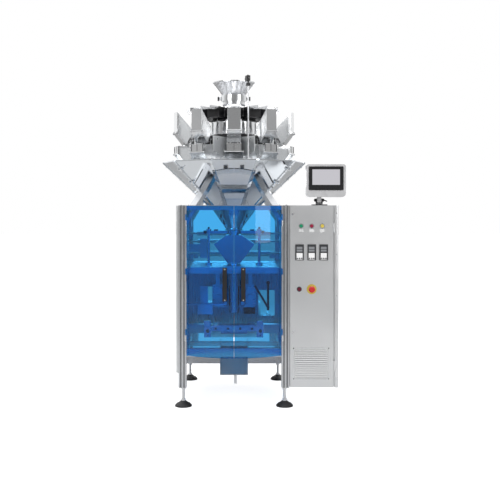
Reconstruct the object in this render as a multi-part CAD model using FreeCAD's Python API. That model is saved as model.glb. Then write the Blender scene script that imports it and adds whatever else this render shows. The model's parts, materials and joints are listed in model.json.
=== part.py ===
import FreeCAD, Part
import math
import os

# Combination weigher with ten heads, standing on a vertical bagging machine.
# Millimetres, +Z up.  While it is drawn, X = 0 and Y = AXIS_Y is the vertical
# axis of the weigher and of the forming tube, Y = 0 is the front face of the
# front posts, +Y runs to the rear and Z = 0 is the floor.  The finished model
# is moved so that its origin is the middle of the bottom of its bounding box.

V = FreeCAD.Vector

# ---- bagging machine frame ----
FRAME_HALF = 350.0
FRAME_DEPTH = 860.0
FRAME_TOP = 1270.0
FRAME_BOTTOM = 119.0
POST = 50.0
RAIL = 42.0
RAIL_HEIGHT = 30.0
BEAM_Z = 314.0
BEAM_HEIGHT = 52.0
PANEL = 6.0
COVER_DEPTH = 16.0
COVER_Z = 212.0
GROOVE_WIDTH = 7.0
GROOVE_DEPTH = 3.0
AXIS_Y = 300.0

# ---- levelling feet ----
FOOT_X = 320.0
FOOT_INSET = 25.0
SPINDLE_R = 9.0
NUT_R = 14.0
NUT_HEIGHT = 12.0
PAD_R = 53.5
PAD_HEIGHT = 35.0
PAD_RIM = 8.0

# ---- sheet, clearances ----
SHEET = 3.0
SLIDE_GAP = 0.6
SEAT_GAP = 0.5

# ---- table, forming set ----
TABLE_Z = 862.0
TABLE_THICK = 10.0
TABLE_HALF = 283.0
TABLE_FLANGE = 30.0
BACK_PLATE_Y = 700.0
BACK_WINDOWS = ((-240.0, -115.0, 550.0, 690.0), (173.0, 294.0, 483.0, 665.0))
FILM_ROLLERS = ((640.0, 1072.0), (700.0, 930.0), (770.0, 1010.0))
PRINTER_X = (-236.0, -184.0)
PRINTER_Z = (905.0, 1040.0)
TUBE_R = 35.0
TUBE_BOTTOM = 560.0
TUBE_TOP = 1108.0
TUBE_FLANGE_R = 60.0
PILLAR_X = 168.0
PILLAR_R = 10.0
PILLAR_TOP = 1116.0
BRIDGE_Z = 1084.0
BRIDGE_HEIGHT = 18.0
BRIDGE_HALF = 203.0
BRIDGE_DEPTH = 30.0
SHOULDER_RIDGE = (49.0, 1073.0)
SHOULDER_WING = (134.0, 1012.0)
SHOULDER_FOOT = (44.0, 890.0)
SHOULDER_DEPTH = 150.0

# ---- film pull-down belts ----
BELT_X = 57.0
BELT_HALF = 18.0
BELT_TOP = 736.0
BELT_BOTTOM = 600.0
BELT_WIDTH = 40.0
BELT_THICK = 4.0
DRIVE_PLATE_EDGE = 145.0
DRIVE_PLATE_THICK = 8.0
DRIVE_PLATE_Z = (589.0, 742.0)
HANGER_X = (96.0, 122.0)
GUIDE_WHEELS = ((702.0, 26.0, 26.0), (654.0, 21.0, 20.0), (623.0, 15.0, 14.0))
GUIDE_WHEEL_X = 108.0
MOTOR_Z = 560.0
MOTOR_X = (65.0, 143.0)
MOTOR_R = 20.0
MOTOR_RIBS = 5
MOTOR_RIB_R = 23.0

# ---- vertical sealer's release arm, valve box ----
ARM_POST_X = 228.0
ARM_POST_R = 7.0
ARM_BAR = 12.0
ARM_POST_Z = (570.0, 745.0)
ARM_KNOB_R = 13.0
ARM_STRUT = [(132.0, 730.0), (145.0, 736.0), (238.0, 586.0), (226.0, 578.0)]
SHELF_Y = (190.0, 275.0)
SHELF_Z = 618.0
SHELF_THICK = 6.0
SHELF_END = -60.0
VALVE_BOX_X = (-236.0, -140.0)
VALVE_BOX_HEIGHT = 60.0
VALVE_STAND_X = (-221.0, -172.0)
VALVE_STAND_TOP = 738.0

# ---- cross sealing jaws ----
JAW_Z = 440.0
JAW_HEIGHT = 37.0
JAW_HALF = 142.0
JAW_DEPTH = 41.0
JAW_GAP = 3.0
JAW_BACK = 16.0
JAW_ROD_X = 172.0
JAW_ROD_Z = 424.0
JAW_ROD_R = 14.0
REAR_ROD_X = 66.0
REAR_ROD_R = 12.0
FRONT_ROD_END = 640.0
REAR_ROD_END = 600.0
JAW_BOSS_RISE = 22.0
JAW_BOSS_R = 25.0
JAW_END_TOP = 510.0
JAW_TRAVEL = 50.0
GUIDE_Y = 420.0
GUIDE_DEPTH = 50.0
GUIDE_Z = 400.0
GUIDE_HEIGHT = 60.0

# ---- front doors ----
DOOR_Z = 324.0
DOOR_TOP = 1267.0
DOOR_HALF = 298.0
DOOR_BULGE = 108.0
DOOR_THICK = 5.0
DOOR_SPLIT = 2.0
STILE_WIDTH = 12.0
STILE_THICK = 9.0
HINGE_OUT = 5.0
HINGE_Y = -8.0
HINGE_LEAF = 9.0
HINGE_HALF = 38.0
HANDLE_X = 57.0
HANDLE_WIDTH = 28.0
HANDLE_Z = 679.0
HANDLE_TOP = 886.0
HANDLE_REACH = 36.0
HANDLE_BAR = 15.0

# ---- electrical cabinet ----
CABINET_LEFT = 353.0
CABINET_RIGHT = 660.0
CABINET_Y = 22.0
CABINET_DEPTH = 448.0
CABINET_Z = 121.0
CABINET_RIM = 20.0
STRIP_LEFT = 634.0
STRIP_ROUND = 14.0
PANEL_DOOR_RIGHT = 624.0
PANEL_DOOR_DEPTH = 20.0
PANEL_DOOR_GAP = 2.0
PANEL_HINGE = (629.0, -2.0)
KNUCKLE_R = 4.5
KNUCKLE_LENGTH = 60.0
BUTTON_Z = 1140.0
START_X = 423.0
STOP_X = 489.0
LAMP_X = 556.0
BUTTON_R = 11.0
BEZEL_R = 16.0
BEZEL_PROUD = 4.0
BUTTON_PROUD = 9.0
BUTTON_TRAVEL = 4.0
PILOT_X = 411.0
STOP_ROW_Z = 742.0
E_STOP_R = 20.0
E_STOP_COLLAR_R = 31.0
E_STOP_STEM_R = 11.0
E_STOP_PROUD = 32.0
E_STOP_HEAD = 18.0
E_STOP_TRAVEL = 5.0
CONTROLLER_X = (412.5, 489.5, 564.5)
CONTROLLER_Z = 974.0
CONTROLLER_WIDTH = 54.0
CONTROLLER_HEIGHT = 100.0
CONTROLLER_PROUD = 9.0
CONTROLLER_BODY = (45.0, 92.0, 70.0)
VENT_LEFT = 375.0
VENT_RIGHT = 598.0
VENT_Z = 176.0
VENT_TOP = 371.0
VENT_SLATS = 15
VENT_FRAME = 8.0

# ---- touch screen on its arm ----
SCREEN_PIVOT_X = 544.0
SCREEN_Y = 75.0
SCREEN_LEFT = 459.0
SCREEN_RIGHT = 711.0
SCREEN_Z = 1322.0
SCREEN_TOP = 1531.0
SCREEN_DEPTH = 66.0
SCREEN_ROUND_LOW = 26.0
SCREEN_ROUND_HIGH = 16.0
BEZEL_WIDTH = 220.0
BEZEL_HEIGHT = 151.0
BEZEL_Z = 1366.0
TILT_Z = 1303.0
SWIVEL_R = 22.0
BARREL_HALF = 13.7
BASE_HALF = 48.0
BASE_THICK = 6.0

# ---- weigher ----
HEADS = 10
HEAD_STEP = 360.0 / HEADS
FRONT_AZIMUTH = -90.0
MOVING_HEADS = (-2, -1, 0, 1, 2)
HOUSING_R = 125.0
HOUSING_Z = 1500.0
BASE_R = 150.0
BASE_Z = 1480.0
GASKET_Z = 1716.0
GASKET_R = 160.0
DOME_Z = 1736.0
DOME_TOP = 1839.0
DOME_R = 155.0
UNIT_REACH = 285.0
UNIT_WIDTH = 88.0
UNIT_Z = 1590.0
UNIT_TOP = 1714.0

# ---- hoppers, as (radius, height) corners ----
HOPPER_SHEET = 2.0
FEED_WIDTH = 80.0
FEED_INNER_R = 300.0
FEED_OUTER_R = 400.0
FEED_TOP_IN = 1765.0
FEED_TOP_OUT = 1875.0
FEED_KINK = 1735.0
FEED_MOUTH = (336.0, 346.0, 1667.0)
WEIGH_WIDTH = 94.0
WEIGH_INNER_R = 292.0
WEIGH_OUTER_R = 395.0
WEIGH_TOP = 1655.0
WEIGH_KINK = 1603.0
WEIGH_MOUTH = (330.0, 340.0, 1535.0)
FEED_GATE_OVERLAP = 3.0
WEIGH_GATE_OVERLAP = 12.0

# ---- feeding on top ----
PAN_IN = 106.0
PAN_OUT = 312.0
PAN_Z = 1882.0
PAN_WALL = 24.0
PAN_HALF_IN = 28.0
PAN_HALF_OUT = 46.0
PAN_TAPER_END = 242.0
VIBRATOR_IN = 96.0
VIBRATOR_OUT = 228.0
VIBRATOR_HALF = (29.5, 47.0)
CHEEK = 3.0
CONE_R = 128.0
CONE_Z = 1913.0
CONE_HEIGHT = 38.0
COLUMN_R = 55.0
INFEED_TOP_R = 142.0
INFEED_TOP = 2084.0
FLUTES = 20
RIM_DROP = 6.0
THROAT_R = 78.0
THROAT_Z = 1936.0
COLLAR_R = 89.0
COLLAR_Z = 1958.0
COLLAR_HEIGHT = 40.0
STAND_R = 140.0
STAND_ROD_R = 5.0
KNOB_REACH = 19.0
KNOB_R = 9.0
SENSOR_R = 291.0
SENSOR_TOP = 2058.0
SENSOR_HEAD = 34.0
SENSOR_ROD_R = 5.0

# ---- collecting funnel and weigher legs ----
FUNNEL_R = 470.0
FUNNEL_RIM = 1548.0
FUNNEL_LIP = 8.0
FUNNEL_FOOT_R = 156.0
FUNNEL_FOOT = 1252.0
FUNNEL_SHEET = 4.0
RIB_WIDTH = 20.0
RIB_THICK = 4.0
RIB_ROOT = 12.0
CONE_FLANGE_R = 166.0
CONE_FLANGE = 6.0
CONE_IN_R = 143.0
CONE_OUT_R = 50.0
CONE_OUT_Z = 1112.0
LEG_WIDTH = 65.0
LEG_THICK = 28.0
LEG_FOOT_Y = 45.0
LEG_FOOT_Z = 1195.0
LEG_HEAD_R = 150.0
LEG_HEAD_Z = 1484.0
LEG_PLATE = 6.0

# ---- discharge chute, film rack ----
CHUTE_HALF = 92.0
CHUTE_FRONT = (190.0, 165.0)
CHUTE_BACK = (400.0, 350.0)
CHUTE_WALL = 45.0
CHUTE_PIN = (212.0, 104.0)
CHUTE_PIN_R = 9.0
RACK_X = 262.0
RACK_PLATE = 8.0
RACK_END = 1320.0
ROLL_Y = 1135.0
ROLL_Z = 400.0
ROLL_R = 140.0
ROLL_HALF = 200.0
CHUCK = 24.0
CHUCK_R = 46.0
SHAFT_R = 14.0
IDLER_R = 16.0
IDLER_Z = 905.0


def block(x0, x1, y0, y1, z0, z1):
    """Box between two opposite corners."""
    return Part.makeBox(x1 - x0, y1 - y0, z1 - z0, V(x0, y0, z0))


def rod(start, end, radius):
    """Round bar from one point to another."""
    return Part.makeCylinder(radius, (end - start).Length, start, end - start)


def drum(x, y, z0, z1, radius):
    """Upright cylinder."""
    return Part.makeCylinder(radius, z1 - z0, V(x, y, z0))


def plate_xz(points, y0, y1):
    """Plate that stands across the machine, outlined by (x, z) points."""
    wire = Part.makePolygon([V(x, y0, z) for x, z in points + points[:1]])
    return Part.Face(wire).extrude(V(0, y1 - y0, 0))


def plate_yz(points, x0, x1):
    """Plate that stands along the machine, outlined by (y, z) points."""
    wire = Part.makePolygon([V(x0, y, z) for y, z in points + points[:1]])
    return Part.Face(wire).extrude(V(x1 - x0, 0, 0))


def plate_xy(points, z0, z1):
    """Level plate, outlined by (x, y) points."""
    wire = Part.makePolygon([V(x, y, z0) for x, y in points + points[:1]])
    return Part.Face(wire).extrude(V(0, 0, z1 - z0))


def turned(profile, x=0.0, y=AXIS_Y):
    """Solid of revolution about an upright axis, from (radius, height) points."""
    wire = Part.makePolygon([V(r, 0, z) for r, z in profile + profile[:1]])
    solid = Part.Face(wire).revolve(V(0, 0, 0), V(0, 0, 1), 360)
    return solid.translated(V(x, y, 0))


def joined(*shapes):
    """One solid made of shapes that touch or overlap."""
    return shapes[0].multiFuse(list(shapes[1:])).removeSplitter()


def mirrored(shape):
    """The same shape on the other side of the machine's middle plane."""
    return shape.mirror(V(0, 0, 0), V(1, 0, 0))


def pair(shape):
    """A shape and its mirror image, as two solids."""
    return [shape, mirrored(shape)]


def on_head(shape, step):
    """Put a shape drawn with +X outwards on the head that is step heads from the front."""
    turned_shape = shape.copy()
    turned_shape.rotate(V(0, 0, 0), V(0, 0, 1), FRONT_AZIMUTH + step * HEAD_STEP)
    turned_shape.translate(V(0, AXIS_Y, 0))
    return turned_shape


def rounded(shape, radius, chosen):
    """Round the edges of a shape for which chosen(edge) is true."""
    edges = [edge for edge in shape.Edges if chosen(edge)]
    return shape.makeFillet(radius, edges)


def edge_along(axis):
    """Test for straight edges that run along one axis."""
    def test(edge):
        if not isinstance(edge.Curve, Part.Line):
            return False
        return abs(abs(edge.Curve.Direction.dot(axis)) - 1.0) < 1e-6
    return test


def corners(radius, z, sides):
    """Corners of a level regular outline on the weigher's axis, one flat side to the front."""
    points = []
    for index in range(sides):
        angle = math.radians(FRONT_AZIMUTH + (index + 0.5) * 360.0 / sides)
        points.append(V(radius * math.cos(angle), AXIS_Y + radius * math.sin(angle), z))
    return points


def flat_face(points):
    """Flat face between corners."""
    return Part.Face(Part.makePolygon(points + points[:1]))


def flat_sided(levels, sides=HEADS):
    """Solid with flat sides through regular outlines given as (radius, height), from the bottom up."""
    outlines = [corners(radius, z, sides) for radius, z in levels]
    faces = [flat_face(outlines[0][::-1]), flat_face(outlines[-1])]
    for low, high in zip(outlines, outlines[1:]):
        for index in range(sides):
            after = (index + 1) % sides
            faces.append(flat_face([low[index], low[after], high[after], high[index]]))
    return Part.makeSolid(Part.makeShell(faces))


def slot_ring(x, z, y0, y1, half_width, half_height):
    """Outline with round ends, upright, extruded from y0 to y1."""
    core = block(x - half_width, x + half_width, y0, y1, z - half_height, z + half_height)
    low = Part.makeCylinder(half_width, y1 - y0, V(x, y0, z - half_height), V(0, 1, 0))
    high = Part.makeCylinder(half_width, y1 - y0, V(x, y0, z + half_height), V(0, 1, 0))
    return joined(core, low, high)


# ---------------------------------------------------------------- frame

def corner_posts():
    """Four closed posts; the front pair has two upright grooves in its face."""
    posts = []
    for side in (-1, 1):
        inner = side * (FRAME_HALF - POST)
        outer = side * FRAME_HALF
        for y in (0.0, FRAME_DEPTH - POST):
            post = block(min(inner, outer), max(inner, outer), y, y + POST, FRAME_BOTTOM, FRAME_TOP)
            if y == 0.0:
                for share in (0.3, 0.7):
                    x = inner + side * share * POST
                    groove = block(x - GROOVE_WIDTH / 2, x + GROOVE_WIDTH / 2, -1, GROOVE_DEPTH,
                                   FRAME_BOTTOM - 1, FRAME_TOP + 1)
                    post = post.cut(groove)
            posts.append(post)
    return posts


def frame_rails():
    """Cross rails at the top, at the table, behind the doors' sill and at the bottom."""
    inner = FRAME_HALF - POST
    rear = FRAME_DEPTH - POST
    rails = [
        block(-inner, inner, 0, RAIL_HEIGHT, FRAME_TOP - RAIL_HEIGHT, FRAME_TOP),
        block(-inner, inner, rear, FRAME_DEPTH, FRAME_TOP - RAIL_HEIGHT, FRAME_TOP),
        block(-inner, inner, POST - RAIL, POST, BEAM_Z, BEAM_Z + BEAM_HEIGHT),
        block(-inner, inner, rear, FRAME_DEPTH, FRAME_BOTTOM, FRAME_BOTTOM + BEAM_HEIGHT),
    ]
    for low, high in ((FRAME_TOP - RAIL_HEIGHT, FRAME_TOP), (BEAM_Z, BEAM_Z + BEAM_HEIGHT)):
        rails += pair(block(inner, inner + RAIL, POST, rear, low, high))
    table_rail = block(TABLE_HALF, inner + RAIL, POST, rear, TABLE_Z - RAIL_HEIGHT, TABLE_Z + TABLE_THICK)
    rails += pair(table_rail)
    chute_y = CHUTE_BACK[0]
    rails.append(block(-inner, inner, chute_y, chute_y + RAIL_HEIGHT, BEAM_Z, BEAM_Z + RAIL_HEIGHT))
    return rails


def side_panels():
    """A sheet between the posts on each side, and a shallow cover outside the left one."""
    outer = FRAME_HALF - POST + RAIL + PANEL
    sheet = block(outer - PANEL, outer, POST, FRAME_DEPTH - POST, FRAME_BOTTOM, FRAME_TOP - RAIL_HEIGHT)
    cover = block(-FRAME_HALF - COVER_DEPTH, -FRAME_HALF, POST / 5, FRAME_DEPTH - POST / 5,
                  COVER_Z, FRAME_TOP - 2)
    cover = rounded(cover, COVER_DEPTH / 2,
                    lambda edge: edge_along(V(0, 0, 1))(edge) and edge.CenterOfMass.x < -FRAME_HALF - 1)
    return pair(sheet) + [cover]


def foot_places():
    """Plan positions of the four levelling feet."""
    for x in (-FOOT_X, FOOT_X):
        for y in (FOOT_INSET, FRAME_DEPTH - FOOT_INSET):
            yield x, y


def foot_spindles():
    """Threaded spindles with a nut under the post and another above the pad."""
    spindles = []
    for x, y in foot_places():
        spindle = drum(x, y, PAD_HEIGHT, FRAME_BOTTOM, SPINDLE_R)
        for z in (PAD_HEIGHT, FRAME_BOTTOM - NUT_HEIGHT):
            spindle = spindle.fuse(drum(x, y, z, z + NUT_HEIGHT, NUT_R))
        spindles.append(spindle.removeSplitter())
    return spindles


def foot_pads():
    """Domed round pads that rest on the floor."""
    profile = [(0, 0), (PAD_R, 0), (PAD_R, PAD_RIM), (PAD_R * 0.8, PAD_HEIGHT * 0.55),
               (PAD_R * 0.42, PAD_HEIGHT * 0.85), (PAD_R * 0.36, PAD_HEIGHT), (0, PAD_HEIGHT)]
    return [turned(profile, x, y) for x, y in foot_places()]


# ---------------------------------------------------------------- forming set

def table_plate():
    """Machine table with a front flange and a clearance hole for the forming tube."""
    front = POST * 2
    plate = block(-TABLE_HALF, TABLE_HALF, front, FRAME_DEPTH - POST * 3, TABLE_Z, TABLE_Z + TABLE_THICK)
    flange = block(-TABLE_HALF, TABLE_HALF, front, front + SHEET, TABLE_Z - TABLE_FLANGE, TABLE_Z)
    hole = drum(0, AXIS_Y, TABLE_Z - 1, TABLE_Z + TABLE_THICK + 1, TUBE_R + 14)
    return [joined(plate, flange).cut(hole)]


def former_frame():
    """Two pillars with nuts and the bridge that clamps the forming tube."""
    bridge = block(-BRIDGE_HALF, BRIDGE_HALF, AXIS_Y - BRIDGE_DEPTH / 2, AXIS_Y + BRIDGE_DEPTH / 2,
                   BRIDGE_Z, BRIDGE_Z + BRIDGE_HEIGHT)
    ring = drum(0, AXIS_Y, BRIDGE_Z, BRIDGE_Z + BRIDGE_HEIGHT, TUBE_R + 14)
    frame = joined(bridge, ring)
    for x in (-PILLAR_X, PILLAR_X):
        frame = frame.fuse(drum(x, AXIS_Y, TABLE_Z + TABLE_THICK, PILLAR_TOP, PILLAR_R))
        frame = frame.fuse(drum(x, AXIS_Y, BRIDGE_Z + BRIDGE_HEIGHT, BRIDGE_Z + BRIDGE_HEIGHT + 9,
                                PILLAR_R * 1.6))
        frame = frame.fuse(drum(x, AXIS_Y, TABLE_Z + TABLE_THICK, TABLE_Z + TABLE_THICK + 14,
                                PILLAR_R * 2.2))
    bore = drum(0, AXIS_Y, BRIDGE_Z - 1, BRIDGE_Z + BRIDGE_HEIGHT + 1, TUBE_R)
    return [frame.removeSplitter().cut(bore)]


def forming_tube():
    """Thin tube that the film is wrapped round, flared at the top."""
    inner = TUBE_R - SHEET
    profile = [(inner, TUBE_BOTTOM), (TUBE_R, TUBE_BOTTOM), (TUBE_R, BRIDGE_Z + BRIDGE_HEIGHT),
               (TUBE_FLANGE_R, TUBE_TOP - SHEET), (TUBE_FLANGE_R, TUBE_TOP),
               (CONE_OUT_R, TUBE_TOP), (inner, BRIDGE_Z + BRIDGE_HEIGHT)]
    return [turned(profile)]


def forming_shoulder():
    """Folded collar that turns the flat film into a tube, open to the rear."""
    def outline(inset):
        ridge_x, ridge_z = SHOULDER_RIDGE
        wing_x, wing_z = SHOULDER_WING
        foot_x, foot_z = SHOULDER_FOOT
        right = [(foot_x - inset, foot_z + inset), (wing_x - 2 * inset, wing_z),
                 (ridge_x - inset, ridge_z - inset)]
        return right + [(-x, z) for x, z in reversed(right)]
    front = AXIS_Y - SHOULDER_DEPTH / 3
    back = AXIS_Y + SHOULDER_DEPTH * 2 / 3
    collar = plate_xz(outline(0), front, back).cut(plate_xz(outline(SHEET), front + SHEET, back + 1))
    bore = drum(0, AXIS_Y, SHOULDER_FOOT[1] - 1, SHOULDER_RIDGE[1] + 1, TUBE_R)
    foot = block(-SHOULDER_FOOT[0], SHOULDER_FOOT[0], AXIS_Y + TUBE_R + 14, back,
                 TABLE_Z + TABLE_THICK, SHOULDER_FOOT[1])
    return [joined(collar, foot).cut(bore)]


# ---------------------------------------------------------------- pull-down belts, vertical seal

def pull_belts():
    """Two closed belts that run against the forming tube."""
    z = (BELT_TOP + BELT_BOTTOM) / 2
    reach = (BELT_TOP - BELT_BOTTOM) / 2 - BELT_HALF
    y0 = AXIS_Y - BELT_WIDTH / 2
    y1 = AXIS_Y + BELT_WIDTH / 2
    belt = slot_ring(BELT_X, z, y0, y1, BELT_HALF, reach)
    belt = belt.cut(slot_ring(BELT_X, z, y0 - 1, y1 + 1, BELT_HALF - BELT_THICK, reach))
    return pair(belt)


def belt_plate_y():
    """Front face of the belts' back plates."""
    return AXIS_Y + BELT_WIDTH / 2 + 5


def belt_units():
    """Back plates hung from the table, with the belt pulleys and three round guide wheels."""
    y0 = belt_plate_y()
    y1 = y0 + DRIVE_PLATE_THICK
    low, high = DRIVE_PLATE_Z
    plate = block(TUBE_R + 4, DRIVE_PLATE_EDGE, y0, y1, low, high)
    plate = rounded(plate, 20, edge_along(V(0, 1, 0)))
    hanger = block(HANGER_X[0], HANGER_X[1], y0, y1, high - 42, TABLE_Z)
    unit = joined(plate, hanger)
    reach = (BELT_TOP - BELT_BOTTOM) / 2 - BELT_HALF
    middle = (BELT_TOP + BELT_BOTTOM) / 2
    for z in (middle - reach, middle + reach):
        pulley = rod(V(BELT_X, y0 - BELT_WIDTH, z), V(BELT_X, y0, z), BELT_HALF - BELT_THICK)
        unit = unit.fuse(pulley)
    for z, radius, reach_out in GUIDE_WHEELS:
        wheel = rod(V(GUIDE_WHEEL_X, y0 - reach_out, z), V(GUIDE_WHEEL_X, y0, z), radius)
        unit = unit.fuse(wheel)
    return pair(unit.removeSplitter())


def sealer_arm():
    """Upright post with a round knob and the slanting strut that carries it."""
    y0 = belt_plate_y() - ARM_BAR
    axis_y = y0 + ARM_BAR / 2
    low, high = ARM_POST_Z
    post = drum(ARM_POST_X, axis_y, low, high, ARM_POST_R)
    radius = ARM_KNOB_R
    knob = turned([(0, high), (radius * 0.7, high), (radius, high + radius * 0.5),
                   (radius * 0.7, high + radius * 1.3), (0, high + radius * 1.6)], ARM_POST_X, axis_y)
    strut = plate_xz(ARM_STRUT, y0, y0 + ARM_BAR)
    return [joined(post, knob, strut)]


def utility_box():
    """Valve box under a shelf that is bracketed to the left side panel, and its cover plate."""
    wall = -(FRAME_HALF - POST + RAIL)
    y0, y1 = SHELF_Y
    top = SHELF_Z + SHELF_THICK
    shelf = block(wall, SHELF_END, y0, y1, SHELF_Z, top)
    valve_box = block(VALVE_BOX_X[0], VALVE_BOX_X[1], y0 + 4, y1 - 5, SHELF_Z - VALVE_BOX_HEIGHT, SHELF_Z)
    middle = (y0 + y1) / 2
    stand = block(VALVE_STAND_X[0], VALVE_STAND_X[1], middle, middle + SHELF_THICK, top, VALVE_STAND_TOP)
    return [joined(shelf, valve_box, stand)]


def drive_motor():
    """Ribbed belt motor under the right back plate."""
    plate_y = belt_plate_y() + DRIVE_PLATE_THICK
    axis_y = plate_y + MOTOR_RIB_R + 11
    x0, x1 = MOTOR_X
    motor = rod(V(x0, axis_y, MOTOR_Z), V(x1, axis_y, MOTOR_Z), MOTOR_R)
    pitch = (x1 - x0) / MOTOR_RIBS
    for index in range(MOTOR_RIBS):
        x = x0 + (index + 0.25) * pitch
        motor = motor.fuse(rod(V(x, axis_y, MOTOR_Z), V(x + pitch / 2, axis_y, MOTOR_Z), MOTOR_RIB_R))
    foot = block(86, HANGER_X[1], plate_y, axis_y + 12, MOTOR_Z + 12, MOTOR_Z + 80)
    return [motor.fuse(foot).removeSplitter()]


def back_plate():
    """Upright mounting plate behind the jaws, between the side panels, with two windows."""
    reach = FRAME_HALF - POST + RAIL
    y1 = BACK_PLATE_Y + SHEET
    plate = block(-reach, reach, BACK_PLATE_Y, y1, BEAM_Z + BEAM_HEIGHT, TABLE_Z - RAIL_HEIGHT)
    for x0, x1, z0, z1 in BACK_WINDOWS:
        window = block(x0, x1, BACK_PLATE_Y - 1, y1 + 1, z0, z1)
        plate = plate.cut(rounded(window, 12, edge_along(V(0, 1, 0))))
    return [plate]


def film_rollers():
    """Three rollers between the side panels that lead the film to the shoulder, and the date printer."""
    reach = FRAME_HALF - POST + RAIL
    rollers = []
    for y, z in FILM_ROLLERS:
        spindle = rod(V(-reach, y, z), V(reach, y, z), IDLER_R / 2)
        rollers.append(joined(spindle, rod(V(-RACK_X, y, z), V(RACK_X, y, z), IDLER_R)))
    y = FILM_ROLLERS[0][0] - IDLER_R - 4
    printer = block(PRINTER_X[0], PRINTER_X[1], y - 90, y, PRINTER_Z[0], PRINTER_Z[1])
    bracket = block(-reach, PRINTER_X[0] + 4, y - 60, y - 52, PRINTER_Z[0] + 40, PRINTER_Z[1] - 40)
    return rollers + [joined(printer, bracket)]


# ---------------------------------------------------------------- sealing jaws

def jaw_guide():
    """Cross block with four bores, standing on the side rails."""
    reach = FRAME_HALF - POST + RAIL
    inner = FRAME_HALF - POST
    body = block(-reach, reach, GUIDE_Y, GUIDE_Y + GUIDE_DEPTH, GUIDE_Z, GUIDE_Z + GUIDE_HEIGHT)
    for x0, x1 in ((-reach, -inner), (inner, reach)):
        body = body.fuse(block(x0, x1, GUIDE_Y, GUIDE_Y + GUIDE_DEPTH, BEAM_Z + BEAM_HEIGHT, GUIDE_Z))
    body = body.removeSplitter()
    for x, radius in ((JAW_ROD_X, JAW_ROD_R), (REAR_ROD_X, REAR_ROD_R)):
        for side in (-x, x):
            bore = rod(V(side, GUIDE_Y - 1, JAW_ROD_Z), V(side, GUIDE_Y + GUIDE_DEPTH + 1, JAW_ROD_Z),
                       radius + SLIDE_GAP)
            body = body.cut(bore)
    return [body]


def front_jaw():
    """Sealing bar with end brackets and the two long guide rods that pull it."""
    face = AXIS_Y - JAW_GAP
    back = face - JAW_DEPTH
    front = back - JAW_BACK
    bar = block(-JAW_HALF, JAW_HALF, back, face, JAW_Z, JAW_Z + JAW_HEIGHT)
    spine_half = JAW_ROD_X + 16
    jaw = bar.fuse(block(-spine_half, spine_half, front, back, JAW_Z + 4, JAW_Z + JAW_HEIGHT - 4))
    boss_z = JAW_ROD_Z + JAW_BOSS_RISE
    for x in (-JAW_ROD_X, JAW_ROD_X):
        jaw = jaw.fuse(block(x - 24, x + 20, front - 14, front, JAW_ROD_Z - 22, JAW_END_TOP))
        jaw = jaw.fuse(rod(V(x, front - 28, boss_z), V(x, front - 14, boss_z), JAW_BOSS_R))
        jaw = jaw.fuse(rod(V(x, front - 20, JAW_ROD_Z), V(x, FRONT_ROD_END, JAW_ROD_Z), JAW_ROD_R))
    return [jaw.removeSplitter()]


def rear_jaw():
    """Sealing bar that meets the front one, on two short rods."""
    face = AXIS_Y + JAW_GAP
    back = face + JAW_DEPTH
    jaw = block(-JAW_HALF, JAW_HALF, face, back, JAW_Z, JAW_Z + JAW_HEIGHT)
    jaw = jaw.fuse(block(-REAR_ROD_X - 24, REAR_ROD_X + 24, back, back + JAW_BACK, JAW_ROD_Z - 16,
                         JAW_Z + JAW_HEIGHT - 4))
    for x in (-REAR_ROD_X, REAR_ROD_X):
        jaw = jaw.fuse(rod(V(x, back, JAW_ROD_Z), V(x, REAR_ROD_END, JAW_ROD_Z), REAR_ROD_R))
    return [jaw.removeSplitter()]


def discharge_chute():
    """Slanting tray under the jaws, hung from a cross rail, with a locating pin for a take-off belt."""
    (y0, z0), (y1, z1) = CHUTE_FRONT, CHUTE_BACK
    side = [(y0, z0), (y0, z0 + CHUTE_WALL), (y1, z1 + CHUTE_WALL * 0.4), (y1, z1 - 36)]
    tray = plate_yz(side, -CHUTE_HALF, CHUTE_HALF)
    hollow = [(y0 - 1, z0 + SHEET), (y0 - 1, z0 + 200), (y1 + 1, z1 + 200), (y1 + 1, z1 - 36 + SHEET)]
    tray = tray.cut(plate_yz(hollow, -CHUTE_HALF + SHEET, CHUTE_HALF - SHEET))
    lip = block(-CHUTE_HALF, CHUTE_HALF, y0 - 20, y0, z0, z0 + SHEET)
    pin_y, pin_z = CHUTE_PIN
    pin = drum(CHUTE_PIN_R, pin_y, pin_z, z0 + CHUTE_WALL / 2, CHUTE_PIN_R)
    return [joined(tray, lip, pin.cut(plate_yz(hollow, -CHUTE_HALF, CHUTE_HALF)))]


# ---------------------------------------------------------------- doors

def door_circle():
    """Radius and centre Y of the bulged doors' outer face."""
    radius = (DOOR_HALF ** 2 + DOOR_BULGE ** 2) / (2 * DOOR_BULGE)
    return radius, radius - DOOR_BULGE


def door_leaf():
    """Right-hand leaf: a bent sheet with a stile along its hinge edge."""
    radius, centre_y = door_circle()
    outer = drum(0, centre_y, DOOR_Z, DOOR_TOP, radius)
    inner = drum(0, centre_y, DOOR_Z - 1, DOOR_TOP + 1, radius - DOOR_THICK)
    window = block(DOOR_SPLIT, DOOR_HALF - STILE_WIDTH / 2, -DOOR_BULGE - 1, 0, DOOR_Z - 1, DOOR_TOP + 1)
    sheet = outer.cut(inner).common(window)
    stile = block(DOOR_HALF - STILE_WIDTH, DOOR_HALF, HINGE_Y - STILE_THICK / 2, HINGE_Y + STILE_THICK / 2,
                  DOOR_Z, DOOR_TOP)
    return joined(sheet, stile)


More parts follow.
